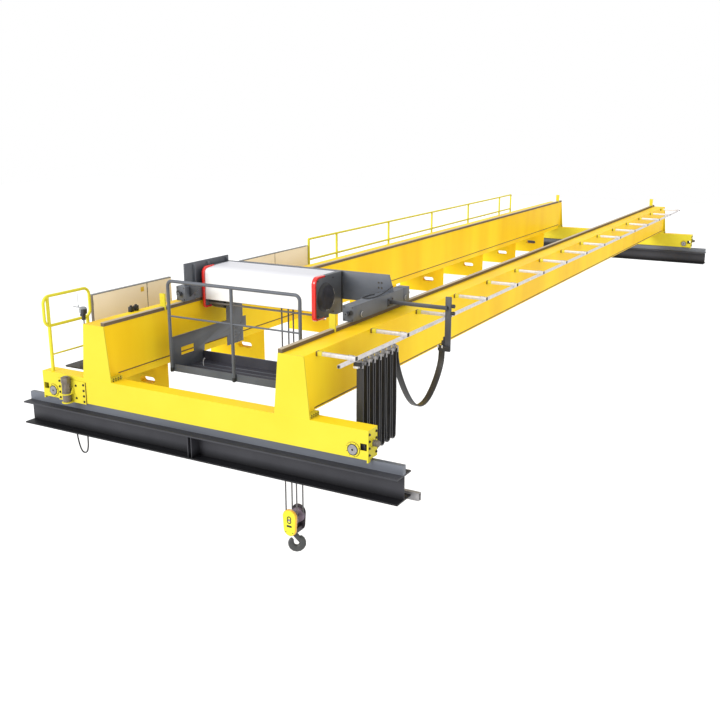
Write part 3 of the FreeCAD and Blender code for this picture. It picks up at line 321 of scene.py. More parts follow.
def laid_rope(name):
    """Strands of wire rope, from slanted bands wound round a vertical axis."""
    material = mottled(name, (0.135, 0.130, 0.135), (0.085, 0.082, 0.088), scale=40,
        roughness=(0.45, 0.6), metallic=0.2)
    tree = material.node_tree
    place = tree.nodes.new("ShaderNodeTexCoord")
    bands = tree.nodes.new("ShaderNodeTexWave")
    bands.bands_direction = "DIAGONAL"
    bands.inputs["Scale"].default_value = 26
    link(tree, place, "Object", bands, "Vector")
    raise_surface(tree, bands, 0.9, 0.003)
    return material


def ribbed_cable(name):
    """Flat cable sheath with shallow lengthwise ribs, from the ribbon's own UV map."""
    material = mottled(name, (0.022, 0.022, 0.024), (0.014, 0.014, 0.016), scale=7,
        roughness=(0.35, 0.5))
    tree = material.node_tree
    place = tree.nodes.new("ShaderNodeTexCoord")
    ribs = tree.nodes.new("ShaderNodeTexWave")
    ribs.inputs["Scale"].default_value = 1.6
    link(tree, place, "UV", ribs, "Vector")
    raise_surface(tree, ribs, 0.5, 0.002)
    return material


ROPE = laid_rope("wire_rope")
CABLE = ribbed_cable("festoon_cable_black")

CAD_FINISHES = { YELLOW: ("girder_end_plates", "trolley_end_stops"),
    CARRIAGE_YELLOW_PAINTED_TOP: ("end_carriage_near", "end_carriage_far", "carriage_end_plates"),
    SHADE_SIDE_YELLOW: ("girder_left", "girder_right", "walkway_brackets"),
    TUBE_YELLOW: ("walkway_handrail", "walkway_guard"),
    CHARCOAL: ("runway_beam_near", "runway_beam_far"), RAIL_BLUE: ("runway_rails",),
    RAIL_BROWN: ("trolley_rails",), ROD_BROWN: ("hoist_tie_rod",), ZINC: ("festoon_track",),
    GREY_ZINC: ("conductor_rail", "collector_arm"),
    SLATE: ("trolley_beam_left", "trolley_beam_right", "platform_tray", "platform_handrail"),
    SLATE_DARK_AND_SHADE: ("hoist_gear_case", "rope_drum"), DECK: ("walkway_floor",),
    IRON: ("runway_wheel_near_left", "runway_wheel_near_right", "runway_wheel_far_left",
    "runway_wheel_far_right", "trolley_wheels_near", "trolley_wheels_far"),
    SHEAVE_PURPLE: ("hook_sheaves",), BUSH_BROWN: ("guide_roller",), }


def finish_cad_nodes():
    for material, names in CAD_FINISHES.items():
        for name in names:
            mesh = nodes[name].data
            mesh.materials.clear()
            mesh.materials.append(material)


finish_cad_nodes()


# --- Mesh building ----------------------------------------------------------------------
def basis(direction):
    """A turn that takes +Z to the direction."""
    return Vector(direction).normalized().to_track_quat("Z", "Y").to_matrix().to_4x4()


class Shape:
    """A mesh being built from simple closed forms."""

    def __init__(self):
        self.bm = bmesh.new()

    def box(self, a, b):
        a, b = Vector(a), Vector(b)
        size = Matrix.Diagonal((*[max(abs(v), 1e-5) for v in (b - a)], 1))
        bmesh.ops.create_cube(self.bm, size=1, matrix=Matrix.Translation((a + b) / 2) @ size)
        return self

    def rod(self, a, b, radius, sides=24, tip=None):
        a, b = Vector(a), Vector(b)
        turn = Matrix.Translation((a + b) / 2) @ basis(b - a)
        bmesh.ops.create_cone(self.bm, cap_ends=True, segments=sides, radius1=radius,
            radius2=radius if tip is None else tip, depth=(b - a).length, matrix=turn)
        return self

    def lathe(self, origin, axis, profile, sides=32):
        """Turns a profile of (radius, distance along) pairs; closed where a radius is 0."""
        turn = Matrix.Translation(origin) @ basis(axis)
        rings = []
        for radius, along in profile:
            if radius == 0:
                rings.append([self.bm.verts.new(turn @ Vector((0, 0, along)))])
                continue
            ring = []
            for k in range(sides):
                angle = 2 * math.pi * k / sides
                ring.append(self.bm.verts.new(
                    turn @ Vector((radius * math.cos(angle), radius * math.sin(angle), along))))
            rings.append(ring)
        for inner, outer in zip(rings, rings[1:]):
            for k in range(sides):
                n = (k + 1) % sides
                if len(inner) == 1:
                    self.bm.faces.new((inner[0], outer[k], outer[n]))
                elif len(outer) == 1:
                    self.bm.faces.new((inner[k], inner[n], outer[0]))
                else:
                    self.bm.faces.new((inner[k], inner[n], outer[n], outer[k]))
        return self

    def slab(self, outline, thickness):
        """A flat outline pushed along a vector."""
        outline = [Vector(p) for p in outline]
        thickness = Vector(thickness)
        bottom = [self.bm.verts.new(p) for p in outline]
        top = [self.bm.verts.new(p + thickness) for p in outline]
        self.bm.faces.new(bottom)
        self.bm.faces.new(list(reversed(top)))
        for k in range(len(outline)):
            n = (k + 1) % len(outline)
            self.bm.faces.new((bottom[k], top[k], top[n], bottom[n]))
        return self

    def sweep(self, path, section, side, closed=False):
        """Carries a section of (across, up) points along a path; side is the across direction."""
        side = Vector(side).normalized()
        rings = []
        count = len(path)
        for k, point in enumerate(path):
            before = path[(k - 1) % count] if closed or k else path[0]
            after = path[(k + 1) % count] if closed or k < count - 1 else path[-1]
            tangent = (Vector(after) - Vector(before)).normalized()
            across = (side - tangent * side.dot(tangent)).normalized()
            lift = tangent.cross(across)
            rings.append([self.bm.verts.new(Vector(point) + across * a + lift * b) for a,
                b in section])
        pairs = list(zip(rings, rings[1:]))
        if closed:
            pairs.append((rings[-1], rings[0]))
        sides = len(section)
        for one, two in pairs:
            for k in range(sides):
                n = (k + 1) % sides
                self.bm.faces.new((one[k], one[n], two[n], two[k]))
        if not closed:
            self.bm.faces.new(list(reversed(rings[0])))
            self.bm.faces.new(rings[-1])
        return self

    def done(self, name, material, body, slot, replaces=(), bevel=0.0, segments=2, angle=35.0):
        """Closes the mesh, makes the piece and says what it rides on and stands for."""
        bm = self.bm
        bmesh.ops.recalc_face_normals(bm, faces=bm.faces)
        if bevel:
            sharp = [e for e in bm.edges if len(e.link_faces) == 2 and e.calc_face_angle() >
                math.radians(angle)]
            bmesh.ops.bevel(bm, geom=sharp, offset=bevel, segments=segments, profile=0.5,
                affect="EDGES", clamp_overlap=True)
        mesh = bpy.data.meshes.new(name)
        bm.to_mesh(mesh)
        bm.free()
        return add_piece(name, mesh, material, body, replaces, angle)


def add_piece(name, mesh, material, body, replaces=(), angle=35.0):
    mesh.materials.clear()
    mesh.materials.append(material)
    for polygon in mesh.polygons:
        polygon.use_smooth = True
    mesh.set_sharp_from_angle(angle=math.radians(angle))
    piece = bpy.data.objects.new(name, mesh)
    put(piece)
    if body:
        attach(piece, body)
    if replaces:
        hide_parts(*replaces)
    return piece


def round_section(radius, sides=12):
    turns = [2 * math.pi * k / sides for k in range(sides)]
    return [(radius * math.cos(t), radius * math.sin(t)) for t in turns]


def softened(name, node, material, body, slot, bevel, segments=2, angle=40.0):
    """A copy of a CAD part with its sharp edges rounded over."""
    shape = Shape()
    shape.bm.from_mesh(nodes[node].data)
    bmesh.ops.remove_doubles(shape.bm, verts=shape.bm.verts, dist=1e-5)
    bmesh.ops.dissolve_limit(shape.bm, angle_limit=math.radians(1.0), verts=shape.bm.verts,
        edges=shape.bm.edges)
    return shape.done(name, material, body, slot, (node,), bevel, segments, angle)


# --- Cables -----------------------------------------------------------------------------
CABLE_WIDTH = 0.076
CABLE_THICK = 0.016


def smooth_line(points, steps=10):
    """The line of a NURBS spline that has the points as its control points."""
    curve = bpy.data.curves.new("route", "CURVE")
    curve.dimensions = "3D"
    curve.resolution_u = steps
    spline = curve.splines.new("NURBS")
    spline.points.add(len(points) - 1)
    for knot, point in zip(spline.points, points):
        knot.co = (*point, 1)
    spline.order_u = 3
    spline.use_endpoint_u = True
    holder = bpy.data.objects.new("route", curve)
    put(holder)
    mesh = plain_mesh(holder)
    line = [v.co.copy() for v in mesh.vertices]
    bpy.data.objects.remove(holder)
    bpy.data.meshes.remove(mesh)
    return line


def flat_section():
    """A flat cable's section: rounded ends and a shallow waist."""
    half, thick, corner = CABLE_WIDTH / 2, CABLE_THICK / 2, 0.005
    points = []
    for sx, sy, start in ((1, 1, 0), (-1, 1, 90), (-1, -1, 180), (1, -1, 270)):
        for k in range(4):
            angle = math.radians(start + 30 * k)
            points.append((sx * (half - corner) + corner * math.cos(angle),
                sy * (thick - corner) + corner * math.sin(angle)))
    return points


def flat_cable(name, points, body, slot="cable_black"):
    line = smooth_line(points)
    run = Vector(points[-1]) - Vector(points[0])
    side = run.cross(UP)
    shape = Shape()
    section = flat_section()
    shape.sweep(line, section, side)
    piece = shape.done(name, CABLE, body, slot, angle=50)
    mesh = piece.data
    uv = mesh.uv_layers.new(name="ribbon")
    side = side.normalized()
    for loop in mesh.loops:
        offset = (mesh.vertices[loop.vertex_index].co - Vector(points[0])).dot(side)
        uv.data[loop.index].uv = (offset / CABLE_WIDTH, mesh.vertices[loop.vertex_index].co.z)
    return piece, line


def stretch_between(piece):
    """Bakes the loop's placement into its mesh."""
    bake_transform(piece)


LOOP_INSET = 0.022
LOOP_DEPTH = 0.920
LEG = [(0, 0), (0, 0.110), (-0.004, 0.320), (-0.006, 0.560), (-0.003, 0.740), (0.003, 0.850)]
FLOOR_INSET = 0.003
OPEN_LOOP = [
    (0.000, 1.126), (0.000, 1.076), (0.034, 0.960), (0.098, 0.820), (0.182, 0.680), (0.285, 0.540),
    (0.408, 0.425), (0.545, 0.380), (0.690, 0.405), (0.822, 0.500), (0.930, 0.620), (1.005, 0.745),
    (1.031, 0.840), (1.031, 0.905),
]
OPEN_LOOP_END = Vector((1.865, 2.112))
OPEN_LOOP_REACH = 1.031


def festoon_loops():
    for k in range(6):
        near, far = CARRIERS[k] + LOOP_INSET, CARRIERS[k + 1] - LOOP_INSET
        down = [(TRACK_X, near + y, SADDLE_LOW - z) for y, z in LEG]
        up = [(TRACK_X, far - y, SADDLE_LOW - z) for y, z in reversed(LEG)]
        floor = [(TRACK_X, near + FLOOR_INSET, SADDLE_LOW - LOOP_DEPTH),
            (TRACK_X, far - FLOOR_INSET, SADDLE_LOW - LOOP_DEPTH)]
        points = down + floor + up
        piece, line = flat_cable(f"festoon_loop_{k + 1}", points, None)
        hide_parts("festoon_cable_stack")
        stretch_between(piece)
    start = Vector((TRACK_X, CARRIERS[6] + LOOP_INSET))
    points = []
    for along, z in OPEN_LOOP:
        place = start.lerp(OPEN_LOOP_END, along / OPEN_LOOP_REACH)
        points.append((place.x, place.y, z))
    piece, line = flat_cable("festoon_loop_7", points, None)
    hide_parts("festoon_cable_loop")
    stretch_between(piece)


COLLECTOR_ROUTE = [
    (-1.936, 0.1755, -0.091), (-1.936, 0.1755, -0.165), (-1.918, 0.1755, -0.255),
    (-1.892, 0.1755, -0.335), (-1.854, 0.1755, -0.373), (-1.796, 0.1755, -0.357),
    (-1.774, 0.1755, -0.295), (-1.766, 0.1755, -0.205), (-1.766, 0.1755, -0.111),
]
COLLECTOR_RADIUS = 0.007


def collector_cable():
    line = smooth_line(COLLECTOR_ROUTE)
    shape = Shape()
    shape.sweep(line, round_section(COLLECTOR_RADIUS * LEAD_SWELL), ALONG_BRIDGE)
    piece = shape.done("collector_lead", RUBBER_AND_SHADE, "bridge", "cable_black", ("collector_cable",),
        angle=60)


festoon_loops()
collector_cable()


# --- Fasteners, by geometry nodes ---------------------------------------------------------
def node_group(name, sockets):
    tree = bpy.data.node_groups.new(name, "GeometryNodeTree")
    tree.interface.new_socket("Geometry", in_out="INPUT", socket_type="NodeSocketGeometry")
    for label, kind in sockets:
        tree.interface.new_socket(label, in_out="INPUT", socket_type=kind)
    tree.interface.new_socket("Geometry", in_out="OUTPUT", socket_type="NodeSocketGeometry")
    return tree, tree.nodes.new("NodeGroupInput"), tree.nodes.new("NodeGroupOutput")


def bolt_tree():
    """A hexagon head on a washer with a stub of thread, at each point, along its facing vector."""
    tree, entry, leave = node_group("bolts", [("Head", "NodeSocketFloat"),
        ("Finish", "NodeSocketMaterial")])
    add = tree.nodes.new
    links = tree.links

    def scaled(factor):
        node = add("ShaderNodeMath")
        node.operation = "MULTIPLY"
        node.inputs[1].default_value = factor
        links.new(entry.outputs["Head"], node.inputs[0])
        return node.outputs["Value"]

    joined = add("GeometryNodeJoinGeometry")
    head, washer, thread = (6, 1.0, 0.7, 0.55), (16, 1.35, 0.2, 0.1), (10, 0.5, 0.4, 1.05)
    for sides, radius, depth, lift in (head, washer, thread):
        disc = add("GeometryNodeMeshCylinder")
        disc.inputs["Vertices"].default_value = sides
        links.new(scaled(radius), disc.inputs["Radius"])
        links.new(scaled(depth), disc.inputs["Depth"])
        shift = add("ShaderNodeCombineXYZ")
        links.new(scaled(lift), shift.inputs["Z"])
        move = add("GeometryNodeTransform")
        links.new(disc.outputs["Mesh"], move.inputs["Geometry"])
        links.new(shift.outputs["Vector"], move.inputs["Translation"])
        links.new(move.outputs["Geometry"], joined.inputs["Geometry"])
    facing = add("GeometryNodeInputNamedAttribute")
    facing.data_type = "FLOAT_VECTOR"
    facing.inputs["Name"].default_value = "facing"
    turn = add("FunctionNodeAlignRotationToVector")
    turn.axis = "Z"
    links.new(facing.outputs["Attribute"], turn.inputs["Vector"])
    spread = add("GeometryNodeInstanceOnPoints")
    links.new(entry.outputs["Geometry"], spread.inputs["Points"])
    links.new(joined.outputs["Geometry"], spread.inputs["Instance"])
    links.new(turn.outputs["Rotation"], spread.inputs["Rotation"])
    real = add("GeometryNodeRealizeInstances")
    links.new(spread.outputs["Instances"], real.inputs["Geometry"])
    paint = add("GeometryNodeSetMaterial")
    links.new(real.outputs["Geometry"], paint.inputs["Geometry"])
    links.new(entry.outputs["Finish"], paint.inputs["Material"])
    links.new(paint.outputs["Geometry"], leave.inputs["Geometry"])
    return tree


BOLTS = bolt_tree()


def from_tree(name, tree, mesh, settings, body, replaces=()):
    """Runs a tree on a mesh once and keeps the plain result."""
    seed = bpy.data.objects.new(name + "_seed", mesh)
    put(seed)
    modifier = seed.modifiers.new("tree", "NODES")
    modifier.node_group = tree
    for item in tree.interface.items_tree:
        if item.in_out == "INPUT" and item.name in settings:
            modifier[item.identifier] = settings[item.name]
    seed.update_tag()
    result = plain_mesh(seed)
    bpy.data.objects.remove(seed)
    result.name = name
    return add_piece(name, result, settings["Finish"], body, replaces)


def bolts(name, places, body, head=0.011, finish=None):
    """places holds (point, facing) pairs."""
    mesh = bpy.data.meshes.new(name + "_points")
    mesh.from_pydata([p for p, _ in places], [], [])
    mesh.attributes.new("facing", "FLOAT_VECTOR", "POINT")
    for spot, (_, way) in zip(mesh.attributes["facing"].data, places):
        spot.vector = way
    return from_tree(name, BOLTS, mesh, {"Head": head, "Finish": finish or BOLT_DARK}, body)


def ring_of(centre, axis, radius, count, start=0.0):
    """Evenly spaced bolts round an axis, all facing along it."""
    turn = Matrix.Translation(centre) @ basis(axis)
    places = []
    for k in range(count):
        angle = start + 2 * math.pi * k / count
        point = turn @ Vector((radius * math.cos(angle), radius * math.sin(angle), 0))
        places.append((point, Vector(axis)))
    return places


# --- Runway and carriages -----------------------------------------------------------------
def carriage_bolts():
    """Two columns of bolts on each end plate."""
    places = []
    for y in (0.0, SPAN):
        for s in SIDES:
            for column in SIDES:
                for row in range(4):
                    z = CARRIAGE_LOW + 0.045 + row * 0.068
                    places.append((Vector((s * CARRIAGE_END, y + column * 0.066, z)),
                        Vector((s, 0, 0))))
    bolts("carriage_end_bolts", places, "bridge", head=0.011)


def wheel_housings():
    """A yellow flange ring, a black disc of painted shade in the gap, and a grey bearing cap over
    each axle end, with bolts.
    """
    rings, gap_shades, caps, dots, seams, places = Shape(), Shape(), Shape(), Shape(), Shape(), []
    for y in (0.0, SPAN):
        for s in SIDES:
            for out in SIDES:
                centre = Vector((s * WHEEL.x, y + out * CARRIAGE_SIDE, WHEEL.z))
                axis = Vector((0, out, 0))
                rings.lathe(centre, axis, [(0, 0), (0.072, 0), (0.072, 0.008), (0.070, 0.010),
                    (0.058, 0.010), (0.057, 0.004), (0, 0.004)], 40)
                # A black disc in the gap between ring and cap: painted shade.
                gap_shades.lathe(centre, axis, [(0, 0.003), (0.0565, 0.003), (0.0565, 0.0112),
                    (0, 0.0112)], 40)
                seams.lathe(centre, axis, [(0, -0.001), (0.076, -0.001), (0.076, 0.001),
                    (0, 0.001)], 40)
                caps.lathe(centre, axis, [(0, 0.005), (0.049, 0.005), (0.049, 0.013),
                    (0.046, 0.016), (0.034, 0.016), (0.033, 0.0145), (0.024, 0.0145),
                    (0.023, 0.016), (0.012, 0.016), (0.011, 0.012), (0, 0.012)], 40)
                dots.lathe(centre, axis, [(0, 0.0115), (0.0105, 0.0115), (0.0105, 0.0135),
                    (0, 0.0135)], 16)
                places += ring_of(centre + axis * 0.0098, axis, 0.0650, 8, 0.3)
    seams.done("bearing_ring_seams", BROWN_SEAM_AND_SHADE, "bridge", "crane_yellow", ("wheel_bearing_caps",))
    rings.done("bearing_rings", YELLOW, "bridge", "crane_yellow", ("wheel_bearing_caps",))
    gap_shades.done("bearing_gap_shades", RUBBER_AND_SHADE, "bridge", "buffer_rubber", ("wheel_bearing_caps",))
    caps.done("bearing_caps", STEEL, "bridge", "bearing_steel", ("wheel_bearing_caps",))
    dots.done("axle_centres", RUBBER_AND_SHADE, "bridge", "buffer_rubber", ("wheel_bearing_caps",))
    bolts("bearing_bolts", places, "bridge", head=0.0030)


def buffers():
    shape, flanges, places = Shape(), Shape(), []
    for y in (0.0, SPAN):
        for s in SIDES:
            z = middle("carriage_buffers").z
            start, axis = Vector((s * CARRIAGE_END, y, z)), Vector((s, 0, 0))
            flanges.lathe(start, axis, [(0, 0), (0.044, 0), (0.044, 0.008), (0.042, 0.010),
                (0, 0.010)])
            shape.lathe(start, axis, [(0, 0.009), (0.032, 0.009), (0.032, 0.020), (0.027, 0.026),
                (0.032, 0.032), (0.032, 0.040), (0.027, 0.046), (0.032, 0.052), (0.031, 0.064),
                (0.024, 0.071), (0, 0.072)])
            places += ring_of(start + axis * 0.0098, axis, 0.0385, 4, 0.6)
    flanges.done("buffer_flanges", YELLOW, "bridge", "crane_yellow", ("carriage_buffers",))
    shape.done("rubber_buffers", BUFFER, "bridge", "buffer_rubber", ("carriage_buffers",))
    bolts("buffer_bolts", places, "bridge", head=0.0035)


def foot_bolts():
    """The joint line and two rows of bolts on the sides of the girders' feet."""
    places, seams = [], Shape()
    middle_z = (CARRIAGE_TOP + GIRDER_LOW) / 2
    for y, inward in ((0.0, 1), (SPAN, -1)):
        for s in SIDES:
            for x, out in ((GIRDER_IN - FOOT_FLARE, -s), (GIRDER_OUT + FOOT_FLARE, s)):
                face = s * x
                seams.box((face - out * 0.002, y - inward * 0.076, middle_z - 0.002),
                    (face + out * 0.001, y + inward * 0.089, middle_z + 0.002))
                for row in (-0.012, 0.012):
                    for step in (-0.052, -0.014, 0.024, 0.062):
                        places.append((Vector((face, y + inward * step, middle_z + row)),
                            Vector((out, 0, 0))))
    seams.done("girder_foot_seams", BROWN_SEAM_AND_SHADE, "bridge", "crane_yellow")
    bolts("girder_foot_bolts", places, "bridge", head=0.0055)


def girder_edges():
    """The lower flange's lip and a brown line above it, a weld line with painted shade in the
    crease over the lip, along both webs of both girders.
    """
    lips, seams = Shape(), Shape()
    for s in SIDES:
        for x, out in ((GIRDER_IN, -s), (GIRDER_OUT, s)):
            face = s * x
            lips.box((face, 0.092, GIRDER_LOW),
                (face + out * 0.006, SPAN - 0.092, GIRDER_LOW + 0.012))
            # The brown strip: a weld line, with painted shade in the crease over the lip.
            seams.box((face - out * 0.002, 0.092, GIRDER_LOW + 0.012),
                (face + out * 0.0012, SPAN - 0.092, GIRDER_LOW + 0.026))
    lips.done("girder_flange_lips", SHADE_SIDE_YELLOW, "bridge", "crane_yellow", bevel=0.001)
    seams.done("girder_weld_and_shade_lines", BROWN_SEAM_AND_SHADE, "bridge", "crane_yellow")


def guide_unit():
    """The guide roller's plates, bush and nut."""
    box_low = low("guide_roller_bracket")
    roller = middle("guide_roller")
    wheel_low, wheel_high = 0.376, 0.456
    face, front = -CARRIAGE_SIDE, -CARRIAGE_SIDE - 0.010
    plate_right = -1.460
    plates = Shape()
    plates.box((box_low.x, front, box_low.z), (plate_right, face, 0.615))
    for z in (wheel_low - 0.015, wheel_high + 0.003):
        outline = [Vector((roller.x - 0.058, front, z)), Vector((roller.x + 0.058, front, z))]
        for k in range(13):
            angle = -math.pi * k / 12
            outline.append(Vector((roller.x + 0.058 * math.cos(angle),
                roller.y + 0.058 * math.sin(angle), z)))
        plates.slab(outline, (0, 0, 0.012))
    for s in SIDES:
        x = roller.x + s * 0.063
        plates.slab([(x - 0.004, front, 0.471), (x - 0.004, front, 0.560),
            (x - 0.004, roller.y, 0.471)], (0.008, 0, 0))
    plates.done("guide_plates", YELLOW, "bridge", "crane_yellow", ("guide_roller_bracket",),
        bevel=0.002)
    # A brown strip on the plate's right edge: painted shade.
    shape = Shape().box((plate_right, front + 0.001, box_low.z + 0.004),
        (plate_right + 0.004, face, 0.611))
    shape.done("guide_plate_shaded_edge", BROWN_SEAM_AND_SHADE, "bridge", "crane_yellow", ("guide_roller_bracket",))
    hub_low = wheel_high + 0.015
    nut_low, nut_top = hub_low + 0.118, high("guide_roller_bracket").z
    bush = Shape()
    bush.lathe((roller.x, roller.y, hub_low), UP, [(0.0162, -0.002), (0.050, -0.002),
        (0.050, 0.014), (0.042, 0.018), (0.042, 0.118), (0.0162, 0.118)])
    for k in range(8):
        angle = math.pi * k / 4
        bush.rod((roller.x + 0.042 * math.cos(angle), roller.y + 0.042 * math.sin(angle),
            hub_low + 0.018), (roller.x + 0.042 * math.cos(angle),
            roller.y + 0.042 * math.sin(angle), nut_low), 0.005, 8)
    bush.done("guide_bush", BUSH_BROWN, "bridge", "bearing_steel", ("guide_roller_bracket",))
    nut = Shape()
    nut.rod((roller.x, roller.y, nut_low), (roller.x, roller.y, nut_top - 0.010), 0.056, 6)
    nut.rod((roller.x, roller.y, nut_top - 0.010), (roller.x, roller.y, nut_top), 0.034, 24)
    nut.done("guide_nut", BUSH_BROWN, "bridge", "bearing_steel", ("guide_roller_bracket",),
        bevel=0.003)
    places = []
    for x in (box_low.x + 0.028, plate_right - 0.024):
        for z in (0.388, 0.452, 0.516, 0.582):
            places.append((Vector((x, front, z)), Vector((0, -1, 0))))
    for x in (roller.x - 0.095, roller.x + 0.100):
        for z in (0.415, 0.560):
            places.append((Vector((x, front, z)), Vector((0, -1, 0))))
    bolts("guide_bolts", places, "bridge", head=0.0105)


# --- Walkway, cabinets and warning post -----------------------------------------------------
CABINETS = ((0.645, (0.943, 0.461)), (3.600, (0.853, 0.940)))


def deck_end():
    """A dark kerb block at the walkway's near end."""
    shape = Shape().box((-1.840, 0.205, WALK_TOP - 0.001), (-1.760, 0.262, WALK_TOP + 0.062))
    shape.done("deck_end_block", DECK, "bridge", "walkway_dark", bevel=0.006)


def cabinets():
    """Beige doors in dark frames, with handles, hinges and a blank label on the first door."""
    box_low, box_high = corners("electrical_panels")
    doors, frames, tops, handles, labels, hinges = [Shape() for _ in range(6)]
    for start, widths in CABINETS:
        end = start + sum(widths) + 0.006 * (len(widths) - 1)
        end = min(end, box_high.y) if start > 2 else end
        frames.box((box_low.x + 0.002, start, box_low.z),
            (box_high.x - 0.006, end, box_high.z - 0.012))
        tops.box((box_low.x, start, box_high.z - 0.012), (box_high.x, end, box_high.z))
        y = start
        for width in widths:
            near = y + (0.010 if y == start else 0.004)
            far = min(y + width - 0.006, end - 0.002)
            doors.box((box_high.x - 0.020, near, box_low.z + 0.060),
                (box_high.x, far, box_high.z - 0.012))
            doors.box((box_low.x, near, box_low.z + 0.060),
                (box_low.x + 0.004, far, box_high.z - 0.012))
            handles.box((box_high.x - 0.002, far - 0.060, 1.02), (box_high.x, far - 0.042, 1.12))
            for z in (0.80, 1.30):
                hinges.rod((box_high.x - 0.008, near - 0.002, z),
                    (box_high.x - 0.008, near - 0.002, z + 0.06), 0.006, 12)
            y += width + 0.006
        if start == CABINETS[0][0]:
            labels.box((box_high.x - 0.001, 1.468, 1.325), (box_high.x + 0.0012, 1.528, 1.385))
    body, slot = "bridge", "panel_beige"
    frames.done("cabinet_frames", CABINET_BROWN, body, slot, ("electrical_panels",), bevel=0.002)
    doors.done("cabinet_doors", BEIGE, body, slot, ("electrical_panels",), bevel=0.003)
    tops.done("cabinet_top_rails", SIREN_GREY, body, slot, ("electrical_panels",), bevel=0.002)
    handles.done("cabinet_handles", CABINET_BROWN, body, slot, ("electrical_panels",), bevel=0.0008)
    hinges.done("cabinet_hinges", CABINET_BROWN, body, slot, ("electrical_panels",))
    labels.done("cabinet_blank_label", LABEL, body, slot, ("electrical_panels",), bevel=0.0004)


def girder_switches():
    """Two small black travel switches on the left girder's outer top edge."""
    shape = Shape()
    for y in (0.640, 0.722):
        shape.box((-GIRDER_OUT + 0.002, y - 0.028, GIRDER_TOP),
            (-GIRDER_OUT + 0.046, y + 0.028, GIRDER_TOP + 0.062))
        shape.rod((-GIRDER_OUT + 0.024, y, GIRDER_TOP + 0.060),
            (-GIRDER_OUT + 0.024, y, GIRDER_TOP + 0.076), 0.016)
    shape.done("travel_switches", RUBBER_AND_SHADE, "bridge", "buffer_rubber", bevel=0.007)


def warning_post():
    """A lamp and a siren on a slim post, with a thin aerial on a crossbar."""
    box_low, box_high = corners("warning_post")
    x, y = -1.447, -0.050
    node, body, slot = ("warning_post",), "bridge", "post_grey"
    post = Shape()
    post.box((x - 0.014, y - 0.014, 1.207), (-GIRDER_OUT, y + 0.014, 1.223))
    post.box((-GIRDER_OUT - 0.006, y - 0.024, 1.175), (-GIRDER_OUT, y + 0.024, 1.255))
    post.lathe((x, y, 0), UP, [(0, 1.207), (0.009, 1.207), (0.009, 1.320), (0.016, 1.322),
        (0.016, 1.366), (0.009, 1.370), (0.009, 1.392), (0.020, 1.396), (0, 1.397)], 24)
    post.done("warning_post_stand", SIREN_GREY, body, slot, node, bevel=0.001)
    shape = Shape().lathe((x, y, 0), UP, [
        (0, 1.322), (0.022, 1.322), (0.022, 1.330), (0.0205, 1.333),
        (0.022, 1.336), (0.022, 1.352), (0.0205, 1.355), (0.022, 1.358), (0.020, 1.365),
        (0, 1.365)], 24)
    shape.done("warning_lamp", RUBBER_AND_SHADE, body, "buffer_rubber", node)
    shape = Shape().lathe((x, y, 0), UP, [
        (0, 1.395), (0.034, 1.395), (0.042, 1.405), (0.042, 1.440),
        (0.038, 1.455), (0.026, 1.466), (0, 1.467)], 28)
    shape.done("warning_siren", SIREN_GREY, body, slot, node)
    horn = Shape()
    horn.box((x + 0.004, y - 0.042, 1.392), (x + 0.046, y + 0.014, 1.446))
    horn.box((x - 0.020, y - 0.034, 1.366), (x + 0.030, y + 0.010, 1.394))
    horn.done("siren_sounder", RUBBER_AND_SHADE, body, "buffer_rubber", node, bevel=0.006)
    aerial = Shape()
    aerial.rod((x, y, 1.455), (box_low.x, y, 1.455), 0.005, 12)
    aerial.lathe((-1.516, y, 0), UP, [(0, 1.452), (0.006, 1.452), (0.006, 1.475), (0.003, 1.480),
        (0.0022, box_high.z), (0, box_high.z)], 12)
    aerial.done("radio_aerial", SIREN_GREY, body, slot, node)


